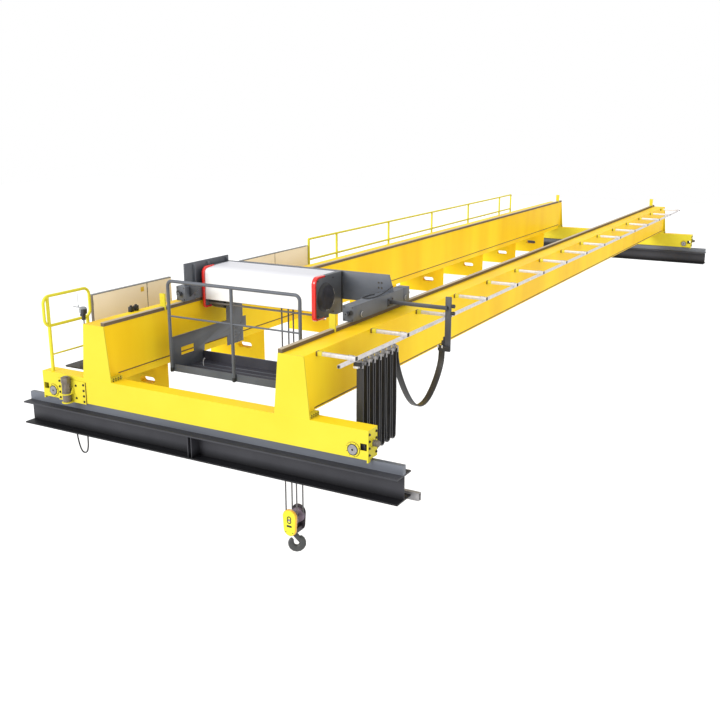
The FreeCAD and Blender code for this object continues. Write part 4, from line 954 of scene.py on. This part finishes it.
# --- Festoon ------------------------------------------------------------------------------
def festoon_arms():
    """Galvanised arms in yellow sockets, with black end caps and hangers for the track."""
    bars, sockets, weld_shadows, caps, hangers, places = Shape(), Shape(), Shape(), Shape(), Shape(), []
    half, wide = 0.018, 0.023
    end = high("festoon_arms").x
    for k in range(ARM_COUNT):
        y = ARM_FIRST + ARM_PITCH * k
        bars.box((GIRDER_OUT + 0.060, y - half, ARM_Z - half),
            (end - 0.006, y + half, ARM_Z + half))
        sockets.box((GIRDER_OUT + 0.012, y - wide, ARM_Z - wide),
            (GIRDER_OUT + 0.066, y + wide, ARM_Z + wide))
        # Brown rings at the sockets' feet: welds, darkened as painted shadow on the web.
        weld_shadows.box((GIRDER_OUT - 0.001, y - wide - 0.003, ARM_Z - wide - 0.003),
            (GIRDER_OUT + 0.018, y + wide + 0.003, ARM_Z + wide + 0.001))
        caps.box((end - 0.008, y - half - 0.001, ARM_Z - half - 0.001),
            (end, y + half + 0.001, ARM_Z + half + 0.001))
        for s in SIDES:
            x = TRACK_X + s * 0.0185
            hangers.box((x - 0.0025, y - 0.022, TRACK_TOP - 0.020),
                (x + 0.0025, y + 0.022, ARM_Z + half))
        hangers.box((TRACK_X - 0.034, y - 0.022, ARM_Z + half),
            (TRACK_X + 0.034, y + 0.022, ARM_Z + half + 0.004))
        for s in SIDES:
            places.append((Vector((TRACK_X + s * 0.026, y, ARM_Z + half + 0.004)), UP))
    node = ("festoon_arms",)
    bars.done("festoon_arm_bars", ZINC, "bridge", "galvanised", node, bevel=0.002)
    sockets.done("festoon_arm_sockets", YELLOW, "bridge", "crane_yellow", node, bevel=0.002)
    weld_shadows.done("festoon_socket_weld_shadows", BROWN_SEAM_AND_SHADE, "bridge", "crane_yellow", node, bevel=0.004)
    caps.done("festoon_arm_caps", RUBBER_AND_SHADE, "bridge", "buffer_rubber", node, bevel=0.002)
    hangers.done("festoon_track_hangers", ZINC, "bridge", "galvanised", bevel=0.001)
    bolts("festoon_hanger_bolts", places, "bridge", head=0.005, finish=BOLT_GREY)
    cap = Shape()
    near = low("festoon_track").y
    cap.box((TRACK_X - 0.0145, near, TRACK_LOW - 0.0005),
        (TRACK_X + 0.0145, near + 0.010, TRACK_TOP + 0.0005))
    cap.done("festoon_track_cap", RUBBER_AND_SHADE, "bridge", "buffer_rubber", bevel=0.002)


def arch(y, radius, half_width, height, steps=14):
    """A half-round outline over a carrier, in the plane of the bridge."""
    points = []
    for k in range(steps + 1):
        angle = math.pi * k / steps
        points.append(Vector((TRACK_X - half_width, y + radius * math.cos(angle),
            height + radius * math.sin(angle))))
    return points


def saddle(name, node, y, body, clamped=False):
    """A carrier: the cable turned over a roll, a rounded hood, a neck, rollers and bolts."""
    top = SADDLE_LOW + 0.074
    wrap = Shape()
    outer, inner = arch(y, 0.030, 0.038, SADDLE_LOW), arch(y, 0.014, 0.038, SADDLE_LOW)
    wrap.slab(outer + list(reversed(inner)), (0.076, 0, 0))
    wrap.done(name + "_cable_turn", CABLE, body, "cable_black", (node,), bevel=0.002)
    cradle = Shape()
    cradle.slab(arch(y, 0.0135, 0.040, SADDLE_LOW + 0.0002), (0.080, 0, 0))
    hood, lining = arch(y, 0.034, 0.026, SADDLE_LOW + 0.008), arch(y, 0.0305, 0.026,
        SADDLE_LOW + 0.008)
    cradle.slab(hood + list(reversed(lining)), (0.052, 0, 0))
    for s in SIDES:
        x = TRACK_X + s * 0.042
        cradle.box((x - 0.002, y - 0.013, SADDLE_LOW), (x + 0.002, y + 0.013, top - 0.012))
    cradle.box((TRACK_X - 0.044, y - 0.012, top - 0.014), (TRACK_X + 0.044, y + 0.012, top - 0.010))
    cradle.box((TRACK_X - 0.018, y - 0.020, SADDLE_LOW + 0.044), (TRACK_X + 0.018, y + 0.020, top))
    cradle.box((TRACK_X - 0.003, y - 0.022, top), (TRACK_X + 0.003, y + 0.022, TRACK_LOW + 0.014))
    cradle.done(name + "_cradle", GREY_ZINC, body, "galvanised", (node,), bevel=0.0012)
    rollers = Shape()
    for s in SIDES:
        for step in (-0.016, 0.016):
            rollers.rod((TRACK_X + s * 0.0036, y + step, TRACK_LOW + 0.0105),
                (TRACK_X + s * 0.0095, y + step, TRACK_LOW + 0.0105), 0.0070, 16)
    rollers.done(name + "_rollers", STEEL, body, "bearing_steel", (node,))
    bolts(name + "_bolts", [(Vector((TRACK_X + s * 0.034, y, top - 0.010)), UP) for s in SIDES],
        body, head=0.005, finish=BOLT_GREY)
    if clamped:
        shape = Shape().box((TRACK_X - 0.044, y - 0.040, SADDLE_LOW + 0.002),
            (TRACK_X + 0.010, y - 0.032, SADDLE_LOW + 0.022))
        shape.done(name + "_plate", PALE_STEEL_AND_HIGHLIGHT, body, "galvanised", (node,), bevel=0.002)
        shape = Shape().box((TRACK_X - 0.044, y - 0.034, SADDLE_LOW + 0.026),
            (TRACK_X + 0.044, y + 0.030, SADDLE_LOW + 0.060))
        shape.done(name + "_jaw", RUBBER_AND_SHADE, body, "buffer_rubber", (node,), bevel=0.002)


def festoon_carriers():
    saddle("end_clamp", "festoon_end_clamp", CARRIERS[0], "bridge", clamped=True)
    for k in range(1, 7):
        saddle(f"carrier_{k}", f"festoon_carrier_{k}", CARRIERS[k], f"festoon_carrier_{k}")


def tow_arm():
    """The arm that pulls the cable: bar, post, black knobs and the cable clamp."""
    node, body = ("tow_arm",), "trolley"
    arm_y, arm_z, half = 2.080, 1.408, 0.020
    post_left, post_right = 1.900, 1.970
    post_near, post_far = 2.100, 2.124
    post_low, post_top = 0.905, 1.530
    bar = Shape()
    bar.box((BEAM_OUT, arm_y - half, arm_z - half), (1.935, arm_y + half, arm_z + half))
    bar.box((BEAM_OUT, arm_y - 0.060, arm_z - 0.045),
        (BEAM_OUT + 0.010, arm_y + 0.060, arm_z + 0.045))
    bar.box((post_left, post_near, post_low), (post_right, post_far, post_top))
    bar.done("tow_bar", TOW_GREY, body, "trolley_grey", node, bevel=0.003)
    knobs = Shape()
    for z in (arm_z + 0.020, arm_z - 0.062):
        knobs.lathe((post_right - 0.002, arm_y + half + 0.012, z), ALONG_RUNWAY,
            [(0, 0), (0.014, 0), (0.014, 0.010), (0.022, 0.012), (0.022, 0.040), (0.018, 0.044),
            (0, 0.044)], 12)
    knobs.done("tow_post_knobs", RUBBER_AND_SHADE, body, "buffer_rubber", node)
    clamp = Shape()
    clamp.box((1.821, post_near - 0.006, post_low), (1.935, post_near + 0.001, post_low + 0.060))
    clamp.box((1.821, post_far - 0.001, post_low), (1.935, post_far + 0.006, post_low + 0.060))
    clamp.box((1.862, post_near + 0.001, post_low + 0.004),
        (1.902, post_far - 0.001, post_low + 0.120))
    clamp.box((1.884, post_near - 0.006, post_low), (1.902, post_far + 0.006, post_low + 0.165))
    clamp.box((1.862, post_near - 0.014, post_low), (1.974, post_near - 0.001, post_low + 0.062))
    clamp.done("cable_clamp_jaws", RUBBER_AND_SHADE, body, "buffer_rubber", node, bevel=0.003)
    shape = Shape().box((1.821, post_near, post_low + 0.001),
        (post_left, post_far, post_low + 0.056))
    shape.done("cable_clamp_body", CABLE, body, "cable_black", node, bevel=0.002)
    tabs = Shape()
    for x in (1.829, 1.880):
        tabs.box((x - 0.008, post_near - 0.018, post_low + 0.036),
            (x + 0.008, post_near - 0.006, post_low + 0.066))
    tabs.done("cable_clamp_tabs", PALE_STEEL_AND_HIGHLIGHT, body, "galvanised", node, bevel=0.002)
    places = [(Vector((BEAM_OUT + 0.010, arm_y + y, arm_z + z)), ALONG_RUNWAY) for y in (-0.045,
        0.045) for z in (-0.030, 0.030)]
    bolts("tow_foot_bolts", places, body, head=0.008)


# --- Trolley --------------------------------------------------------------------------------
def wheel_beam_ends():
    """Plated end blocks, each with a bore painted in shade, a black disc in a dark rim, and pale
    caps on the trolley's axles.
    """
    blocks, bore_shades, caps, places = Shape(), Shape(), Shape(), []
    rings = Shape()
    near, far = 1.236, 2.573
    for s in SIDES:
        for y, out in ((near, -1), (far, 1)):
            blocks.box((s * (BEAM_IN - 0.003), y - out * 0.150, RAIL_TOP + 0.010),
                (s * (BEAM_OUT + 0.003), y + out * 0.006, BEAM_TOP + 0.002))
            face = Vector((s * (BEAM_OUT - 0.026), y + out * 0.006, 1.434))
            # A dark rim and a flush black disc in each bore: painted shade.
            rings.lathe(face, Vector((0, out, 0)), [(0.022, -0.001), (0.030, -0.001),
                (0.030, 0.004), (0.022, 0.004), (0.022, -0.001)], 28)
            bore_shades.lathe(face, Vector((0, out, 0)), [(0, 0.001), (0.0215, 0.001), (0.0215, 0.003),
                (0, 0.002)], 28)
            places += [(Vector((s * x, y + out * 0.006, z)),
                Vector((0, out, 0))) for x in (BEAM_IN + 0.016, BEAM_OUT - 0.012) for z in (1.356,
                1.492)]
        for y in (1.412, 2.472):
            centre = Vector((s * (BEAM_OUT + 0.008), y, 1.3923))
            caps.lathe(centre, Vector((s, 0, 0)), [(0, -0.001), (0.029, -0.001), (0.029, 0.004),
                (0.025, 0.007), (0.010, 0.007), (0.009, 0.005), (0, 0.005)], 28)
    body = "trolley"
    blocks.done("wheel_beam_blocks", SLATE, body, "trolley_grey", bevel=0.004)
    rings.done("wheel_beam_bore_shade_rims", SLATE_DARK_AND_SHADE, body, "trolley_grey")
    bore_shades.done("wheel_beam_bore_shades", RUBBER_AND_SHADE, body, "buffer_rubber")
    caps.done("trolley_axle_caps", PALE_STEEL_AND_HIGHLIGHT, body, "bearing_steel")
    bolts("wheel_beam_bolts", places, body, head=0.006)


def trolley_stops():
    """Rubber faces on the trolley's buffers."""
    shape = Shape()
    for s in SIDES:
        for y, out in ((1.236, -1), (2.573, 1)):
            shape.lathe((s * RAIL_LINE, y + out * 0.006, 1.424), Vector((0, out, 0)),
                [(0, 0), (0.0242, 0), (0.0245, 0.020), (0.0215, 0.026), (0.0245, 0.032),
                (0.0245, 0.050), (0.020, 0.0539), (0, 0.0541)], 28)
    shape.done("trolley_buffer_sleeves", RUBBER_AND_SHADE, "trolley", "buffer_rubber")


def bent_guard():
    """A bent black rod on the right wheel beam, a cable guard."""
    z = BEAM_TOP + 0.009
    rise = 0.055
    route = [(1.110, 1.900, z), (1.085, 1.800, z), (1.080, 1.700, z), (1.100, 1.660, z),
        (1.150, 1.655, z), (1.185, 1.690, z), (1.192, 1.800, z), (1.196, 1.930, z + 0.004),
        (1.200, 2.060, z + 0.030), (1.203, 2.180, z + rise)]
    shape = Shape().sweep(smooth_line([Vector(p) for p in route]), round_section(0.006), UP)
    shape.done("cable_guard_rod", RUBBER_AND_SHADE, "trolley", "trolley_grey", angle=60)


def hoist_housing():
    """The white cover, a bent sheet with a lip along its front edge."""
    box_low, box_high = corners("hoist_cover")
    left, right = box_low.x, box_high.x
    near, far, skirt, crown = box_low.y, box_high.y, box_low.z, box_high.z
    front = [(near, skirt), (near, crown - 0.075)]
    corner = 0.070
    for k in range(1, 7):
        angle = math.pi - math.pi / 2 * 0.75 * k / 6
        front.append((near + corner + corner * math.cos(angle),
            crown - 0.075 + 0.058 * math.sin(angle)))
    front += [(near + 0.22, crown - 0.005), (far - 0.05, crown), (far, crown - 0.03),
        (far, crown - 0.165)]
    wall = 0.004
    outline = [Vector((left, y, z)) for y, z in front]
    inner = []
    for k, (y, z) in enumerate(front):
        before = front[max(k - 1, 0)]
        after = front[min(k + 1, len(front) - 1)]
        run = Vector((after[0] - before[0], after[1] - before[1])).normalized()
        inner.append(Vector((left, y + run.y * wall, z - run.x * wall)))
    shape = Shape()
    shape.slab(outline + list(reversed(inner)), (right - left, 0, 0))
    lip = 0.012
    shape.box((left, near, skirt), (right, near + lip, skirt + 0.003))
    shape.done("hoist_white_cover", WHITE_SHADED_TOP, "trolley", "hoist_white", ("hoist_cover",), angle=25)


def hoist_ends():
    """Red bands, dark end housings, the ribbed round boss with its side wall in painted shade and
    painted highlights on its rim, and the shadow gap behind the cap.
    """
    body = "trolley"
    softened("hoist_red_bands", "hoist_trims", RED, body, "hoist_red", 0.006, 3)
    softened("hoist_end_housings", "hoist_end_caps", CAP_GREY, body, "trolley_grey", 0.003)
    face, boss_y, boss_z = 0.544, 1.757, 1.453
    centre = Vector((face, boss_y, boss_z))
    # The boss's side wall is black: painted shade.
    shape = Shape().lathe(centre, ALONG_RUNWAY, [(0.120, 0.0005), (0.1735, 0.0005), (0.1735, 0.004),
        (0.1485, 0.0335), (0.1485, 0.0345), (0.120, 0.0345), (0.120, 0.0005)], 64)
    shape.done("boss_side_wall_shade", RUBBER_AND_SHADE, body, "buffer_rubber", ("hoist_end_caps",))
    cover = Shape()
    cover.lathe(centre, ALONG_RUNWAY, [(0, 0.032), (0.143, 0.032), (0.143, 0.0340), (0.140, 0.0368),
        (0.132, 0.0368), (0.130, 0.0352), (0.100, 0.0352), (0.098, 0.0370), (0.092, 0.0370),
        (0.090, 0.0352), (0, 0.0352)], 64)
    for k in range(-5, 6):
        offset = k * 0.022
        reach = math.sqrt(max(0.128 ** 2 - offset ** 2, 0.0001))
        cover.box((face + 0.034, boss_y + offset - 0.003, boss_z - reach),
            (face + 0.0372, boss_y + offset + 0.003, boss_z + reach))
    cover.done("boss_ribbed_face", BOSS_GREY, body, "trolley_grey", ("hoist_end_caps",))
    # Pale arcs on the boss's rim: painted highlights where light catches the rounded edge.
    rim = Shape()
    for start, stop in ((-0.62, -0.12), (0.35, 0.75), (1.45, 1.9)):
        turns = [start + (stop - start) * k / 10 for k in range(11)]
        path = [centre + Vector((0.0355, 0.1445 * math.sin(t + math.pi / 2),
            0.1445 * math.cos(t + math.pi / 2))) for t in turns]
        rim.sweep(path, round_section(0.0022, 8), ALONG_RUNWAY)
    rim.done("boss_rim_painted_highlights", PALE_STEEL_AND_HIGHLIGHT, body, "bearing_steel", ("hoist_end_caps",))
    places = ring_of(centre + Vector((0.0368, 0, 0)), ALONG_RUNWAY, 0.1362, 8, 0.2)
    bolts("boss_bolts", places, body, head=0.0035)
    shape = Shape().box((face - 0.020, 2.122, 1.206), (face + 0.0008, 2.150, 1.702))
    shape.done("cap_shadow_gap", RUBBER_AND_SHADE, body, "buffer_rubber", ("hoist_end_caps",), bevel=0.0002)
    cap_places = [(Vector((face, y, z)), ALONG_RUNWAY)
        for y in (1.60, 1.93) for z in (1.255, 1.660)]
    bolts("cap_bolts", cap_places, body, head=0.007)


def trolley_frame():
    """Rounded copies of the rear beam and the side plate, with bolts and a gusset darkened with
    painted shade.
    """
    body, slot = "trolley", "trolley_grey"
    softened("rear_beam_plate", "trolley_rear_beam", SLATE, body, slot, 0.003)
    softened("side_plate_channel", "trolley_side_plate", SLATE, body, slot, 0.002)
    places = []
    for s in SIDES:
        for x in (1.020, 1.060):
            for z in (1.42, 1.48, 1.54, 1.60):
                places.append((Vector((s * x, 2.170, z)), Vector((0, -1, 0))))
    bolts("rear_beam_bolts", places, body, head=0.008)
    # The gusset is darker than the side plate: painted shade inside the channel.
    gusset = Shape()
    near = 1.310
    gusset.slab([(-BEAM_IN, near, BEAM_TOP), (-0.905, near, BEAM_TOP), (-BEAM_IN, near, 1.375)],
        (0, 0.012, 0))
    gusset.done("side_plate_shaded_gusset", SLATE_DARK_AND_SHADE, body, slot, bevel=0.001)


# --- Platform --------------------------------------------------------------------------------
def platform():
    """The tray's inside darkened with painted shade, folded edges on the hangers, rail feet and a
    small drain stem.
    """
    body, slot = "trolley", "trolley_grey"
    box_low, box_high = corners("platform_tray")
    wall = 0.006
    softened("platform_side_hangers", "platform_hangers", SLATE, body, slot, 0.0015)
    # Dark sheets inside the tray: painted shade on its floor and walls.
    inside_shades = Shape()
    inside_shades.box((box_low.x, box_low.y + wall, box_low.z + wall),
        (box_high.x, box_high.y - wall, box_low.z + wall + 0.002))
    inside_shades.box((box_low.x, box_high.y - wall - 0.002, box_low.z + wall),
        (box_high.x, box_high.y - wall, box_high.z - 0.008))
    inside_shades.box((box_low.x, box_low.y + wall, box_low.z + wall),
        (box_high.x, box_low.y + wall + 0.002, 0.712))
    inside_shades.done("tray_shade_sheets", TRAY_SHADE, body, slot)
    ribs = Shape()
    for y in (0.86, 1.00, 1.12):
        ribs.box((box_low.x + 0.01, y - 0.006, box_low.z + 0.006),
            (box_high.x - 0.01, y + 0.006, box_low.z + 0.012))
    ribs.done("tray_floor_ribs", SLATE, body, slot, bevel=0.002)
    folds = Shape()
    for s in SIDES:
        x = box_high.x if s > 0 else box_low.x
        folds.box((x, 0.712, 1.026), (x - s * 0.012, 1.735, 1.032))
    folds.done("hanger_folds", SLATE, body, slot, bevel=0.001)
    feet = Shape()
    rail_y = low("platform_handrail").y + 0.019
    for x in (box_low.x, (box_low.x + box_high.x) / 2, box_high.x):
        feet.lathe((x, rail_y, 0), UP, [(0, box_low.z), (0.014, box_low.z),
            (0.021, box_low.z + 0.006), (0.021, box_low.z + 0.045), (0.0195, box_low.z + 0.050),
            (0, box_low.z + 0.050)], 24)
    feet.done("rail_post_feet", RUBBER_AND_SHADE, body, "buffer_rubber")
    stem = Shape()
    floor = box_low.z + 0.008
    route = [Vector(p) for p in ((-0.700, 1.040, floor), (-0.702, 1.040, floor + 0.030),
        (-0.700, 1.040, floor + 0.060), (-0.690, 1.040, floor + 0.082),
        (-0.676, 1.040, floor + 0.092))]
    stem.sweep(smooth_line(route), round_section(0.006), ALONG_BRIDGE)
    stem.done("tray_drain_stem", PALE_STEEL_AND_HIGHLIGHT, body, "galvanised", angle=60)


# --- Ropes, block and hook ---------------------------------------------------------------------
def ropes():
    """Four straight falls."""
    top = high("hoist_ropes").z
    shape = Shape()
    for x_side in SIDES:
        for y_side in SIDES:
            x = HOOK_AXIS.x + x_side * 0.081
            y = HOOK_AXIS.y + y_side * 0.070
            shape.rod((x, y, AXLE_Z), (x, y, top), ROPE_RADIUS, 12)
    piece = shape.done("wire_ropes", ROPE, None, "rope_steel", ("hoist_ropes",), angle=60)
    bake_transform(piece)


def plate_outline(y, top, bottom, wide, narrow, inset=0.0, steps=16):
    """An upright rounded outline, wider above than below, in the XZ plane."""
    points = []
    upper, lower = wide / 2 - inset, narrow / 2 - inset
    for k in range(steps + 1):
        angle = math.pi * k / steps
        points.append(Vector((HOOK_AXIS.x + upper * math.cos(angle), y,
            top - wide / 2 + upper * math.sin(angle))))
    for k in range(steps + 1):
        angle = math.pi + math.pi * k / steps
        points.append(Vector((HOOK_AXIS.x + lower * math.cos(angle), y,
            bottom + narrow / 2 + lower * math.sin(angle))))
    return points


def hook_block():
    """Domed yellow front cover with a gold rim, a rear plate darkened with painted shade, web, axle
    and crosshead.
    """
    box_low, box_high = corners("hook_block")
    node, body = ("hook_block",), "hook_block"
    cover_deep, plate_deep = 0.038, 0.014
    top, bottom, wide, narrow = box_high.z, box_low.z, 0.202, 0.180
    shape = Shape().slab(plate_outline(box_low.y + 0.005, top, bottom, wide, narrow),
        (0, cover_deep - 0.005, 0))
    shape.done("block_gold_rim", BLOCK_RIM, body, "crane_yellow", node, bevel=0.005, segments=3)
    shape = Shape().slab(plate_outline(box_low.y, top, bottom, wide, narrow, 0.009), (0, 0.010, 0))
    shape.done("block_front_cover", BLOCK_YELLOW, body, "crane_yellow", node, bevel=0.004,
        segments=3)
    # The rear plate's dark colour is painted shade.
    shape = Shape().slab(plate_outline(box_high.y - plate_deep, top, bottom, wide, narrow),
        (0, plate_deep, 0))
    shape.done("block_rear_plate_shaded", BLOCK_DARK_AND_SHADE, body, "hook_iron", node, bevel=0.002)
    inside = Shape()
    inner_near, inner_far = box_low.y + cover_deep - 0.001, box_high.y - plate_deep + 0.001
    inside.rod((HOOK_AXIS.x, inner_near, AXLE_Z), (HOOK_AXIS.x, inner_far, AXLE_Z), 0.0218, 24)
    shank = 0.0263
    head_low = bottom + 0.018
    for near, far in ((inner_near, HOOK_AXIS.y - shank), (HOOK_AXIS.y + shank, inner_far)):
        inside.box((HOOK_AXIS.x - 0.058, near, head_low),
            (HOOK_AXIS.x + 0.058, far, head_low + 0.062))
    for s in SIDES:
        inside.box((HOOK_AXIS.x + s * shank, HOOK_AXIS.y - shank, head_low),
            (HOOK_AXIS.x + s * 0.058, HOOK_AXIS.y + shank, head_low + 0.062))
    inside.done("block_axle_and_crosshead", BLOCK_DARK_AND_SHADE, body, "hook_iron", node, bevel=0.001)
    marks = Shape()
    front = Vector((HOOK_AXIS.x, box_low.y, AXLE_Z))
    for z in (AXLE_Z - 0.016, AXLE_Z + 0.020):
        marks.lathe((front.x, front.y, z), (0, -1, 0), [(0.019, -0.002), (0.033, -0.002),
            (0.033, 0.0006), (0.019, 0.0006), (0.019, -0.002)], 32)
    marks.box((front.x - 0.036, box_low.y - 0.0008, AXLE_Z - 0.096),
        (front.x + 0.036, box_low.y + 0.002, AXLE_Z - 0.068))
    marks.done("axle_keeper", RUBBER_AND_SHADE, body, "hook_iron", node)
    shape = Shape().lathe(front, (0, -1, 0), [
        (0, -0.002), (0.0165, -0.002), (0.0165, 0.0008), (0, 0.0010)], 28)
    shape.done("axle_end", SHEAVE_PURPLE, body, "bearing_steel", node)
    places = [(Vector((front.x + s * 0.052, box_low.y, AXLE_Z - 0.165)),
        Vector((0, -1, 0))) for s in SIDES]
    places += [(Vector((front.x + s * 0.062, box_high.y, z)),
        Vector((0, 1, 0))) for s in SIDES for z in (AXLE_Z, AXLE_Z - 0.150)]
    bolts("block_bolts", places, body, head=0.0055)


def rounded_tube(shape, rings, sides=20):
    """Skins oval rings of (centre, half width along a direction, direction, half depth along Y)."""
    loops = []
    for centre, reach, way, depth in rings:
        loop = []
        for k in range(sides):
            angle = 2 * math.pi * k / sides
            across, deep = math.cos(angle), math.sin(angle)
            square = 1.0 / max(abs(across) ** 3.2 + abs(deep) ** 3.2, 1e-6) ** (1 / 3.2)
            loop.append(shape.bm.verts.new(Vector(centre) + Vector(way) * reach * across * square +
                ALONG_BRIDGE * depth * deep * square))
        loops.append(loop)
    for one, two in zip(loops, loops[1:]):
        for k in range(sides):
            n = (k + 1) % sides
            shape.bm.faces.new((one[k], one[n], two[n], two[k]))
    shape.bm.faces.new(list(reversed(loops[0])))
    shape.bm.faces.new(loops[-1])
    return shape


def hook():
    """A forged single hook: shank, thick bowl round a small eye, and a tapering tip."""
    heading = Matrix.Rotation(math.radians(HOOK_HEADING), 3, "Z")
    pin = Vector((HOOK_AXIS.x, HOOK_AXIS.y, 0))
    bowl = Vector((0.060, HOOK_AXIS.y, -1.774))
    body, node = "hook", ("hook",)
    rings = [
        ((HOOK_AXIS.x, HOOK_AXIS.y, -1.604), 0.027, (1, 0, 0), 0.027),
        ((HOOK_AXIS.x, HOOK_AXIS.y, -1.640), 0.028, (1, 0, 0), 0.028),
        ((HOOK_AXIS.x + 0.004, HOOK_AXIS.y, -1.656), 0.037, (1, 0, 0), 0.030),
        ((HOOK_AXIS.x + 0.020, HOOK_AXIS.y, -1.682), 0.046, (0.98, 0, -0.18), 0.031),
    ]
    for degrees, outer, inner, depth in (
            (58, 0.116, 0.030, 0.031), (35, 0.119, 0.030, 0.031), (10, 0.121, 0.030, 0.031),
            (-15, 0.122, 0.030, 0.031), (-40, 0.122, 0.030, 0.031), (-65, 0.123, 0.030, 0.031),
            (-90, 0.123, 0.030, 0.031), (-115, 0.122, 0.030, 0.030), (-140, 0.119, 0.031, 0.029),
            (-162, 0.114, 0.032, 0.028), (-182, 0.112, 0.034, 0.026), (-199, 0.109, 0.038, 0.023),
            (-214, 0.105, 0.044, 0.019), (-227, 0.098, 0.054, 0.013)):
        angle = math.radians(degrees)
        way = Vector((math.cos(angle), 0, math.sin(angle)))
        reach = (outer - inner) / 2
        rings.append((bowl + way * (inner + reach), reach, way, depth))
    shape = rounded_tube(Shape(), rings)
    for vertex in shape.bm.verts:
        vertex.co = pin + heading @ (vertex.co - pin)
    shape.done("forged_hook", HOOK_IRON, body, "hook_iron", node, angle=50)
    nut = Shape()
    nut.rod((HOOK_AXIS.x, HOOK_AXIS.y, -1.606), (HOOK_AXIS.x, HOOK_AXIS.y, -1.524), 0.0258, 24)
    nut.rod((HOOK_AXIS.x, HOOK_AXIS.y, -1.553), (HOOK_AXIS.x, HOOK_AXIS.y, -1.530), 0.039, 6)
    nut.done("hook_nut", HOOK_IRON, body, "hook_iron", node, bevel=0.001)


# --- Scene --------------------------------------------------------------------------------
def floor_and_light():
    floor_z = cad_box[0][2] - 3.6
    mesh = bpy.data.meshes.new("floor")
    size = 90.0
    mesh.from_pydata([(-size, -size, floor_z), (size, -size, floor_z), (size, size, floor_z),
        (-size, size, floor_z)], [], [(0, 1, 2, 3)])
    floor = bpy.data.objects.new("floor", mesh)
    put(floor)
    mesh.materials.append(mottled("studio_floor", (0.96, 0.96, 0.96), (0.95, 0.95, 0.95), scale=0.4,
        roughness=(0.9, 1.0), peel=0.0))
    world = bpy.data.worlds.new("studio")
    world.use_nodes = True
    world.node_tree.nodes["Background"].inputs["Color"].default_value = (1, 1, 1, 1)
    world.node_tree.nodes["Background"].inputs["Strength"].default_value = 1.0
    bpy.context.scene.world = world
    for name, direction, strength, spread in (
        ("key", (-0.35, -0.90, 0.45), 2.2, 30),
        ("fill", (0.9, -0.1, 0.5), 0.25, 60),
    ):
        light = bpy.data.lights.new(name, "SUN")
        light.energy = strength
        light.angle = math.radians(spread)
        holder = bpy.data.objects.new(name, light)
        holder.rotation_euler = Vector(direction).to_track_quat("Z", "Y").to_euler()
        put(holder)
    bpy.context.scene.view_settings.view_transform = "Standard"


carriage_bolts()
wheel_housings()
buffers()
foot_bolts()
girder_edges()
guide_unit()
cabinets()
deck_end()
girder_switches()
warning_post()
festoon_arms()
festoon_carriers()
tow_arm()
wheel_beam_ends()
trolley_stops()
bent_guard()
hoist_housing()
hoist_ends()
trolley_frame()
platform()
ropes()
hook_block()
hook()
floor_and_light()
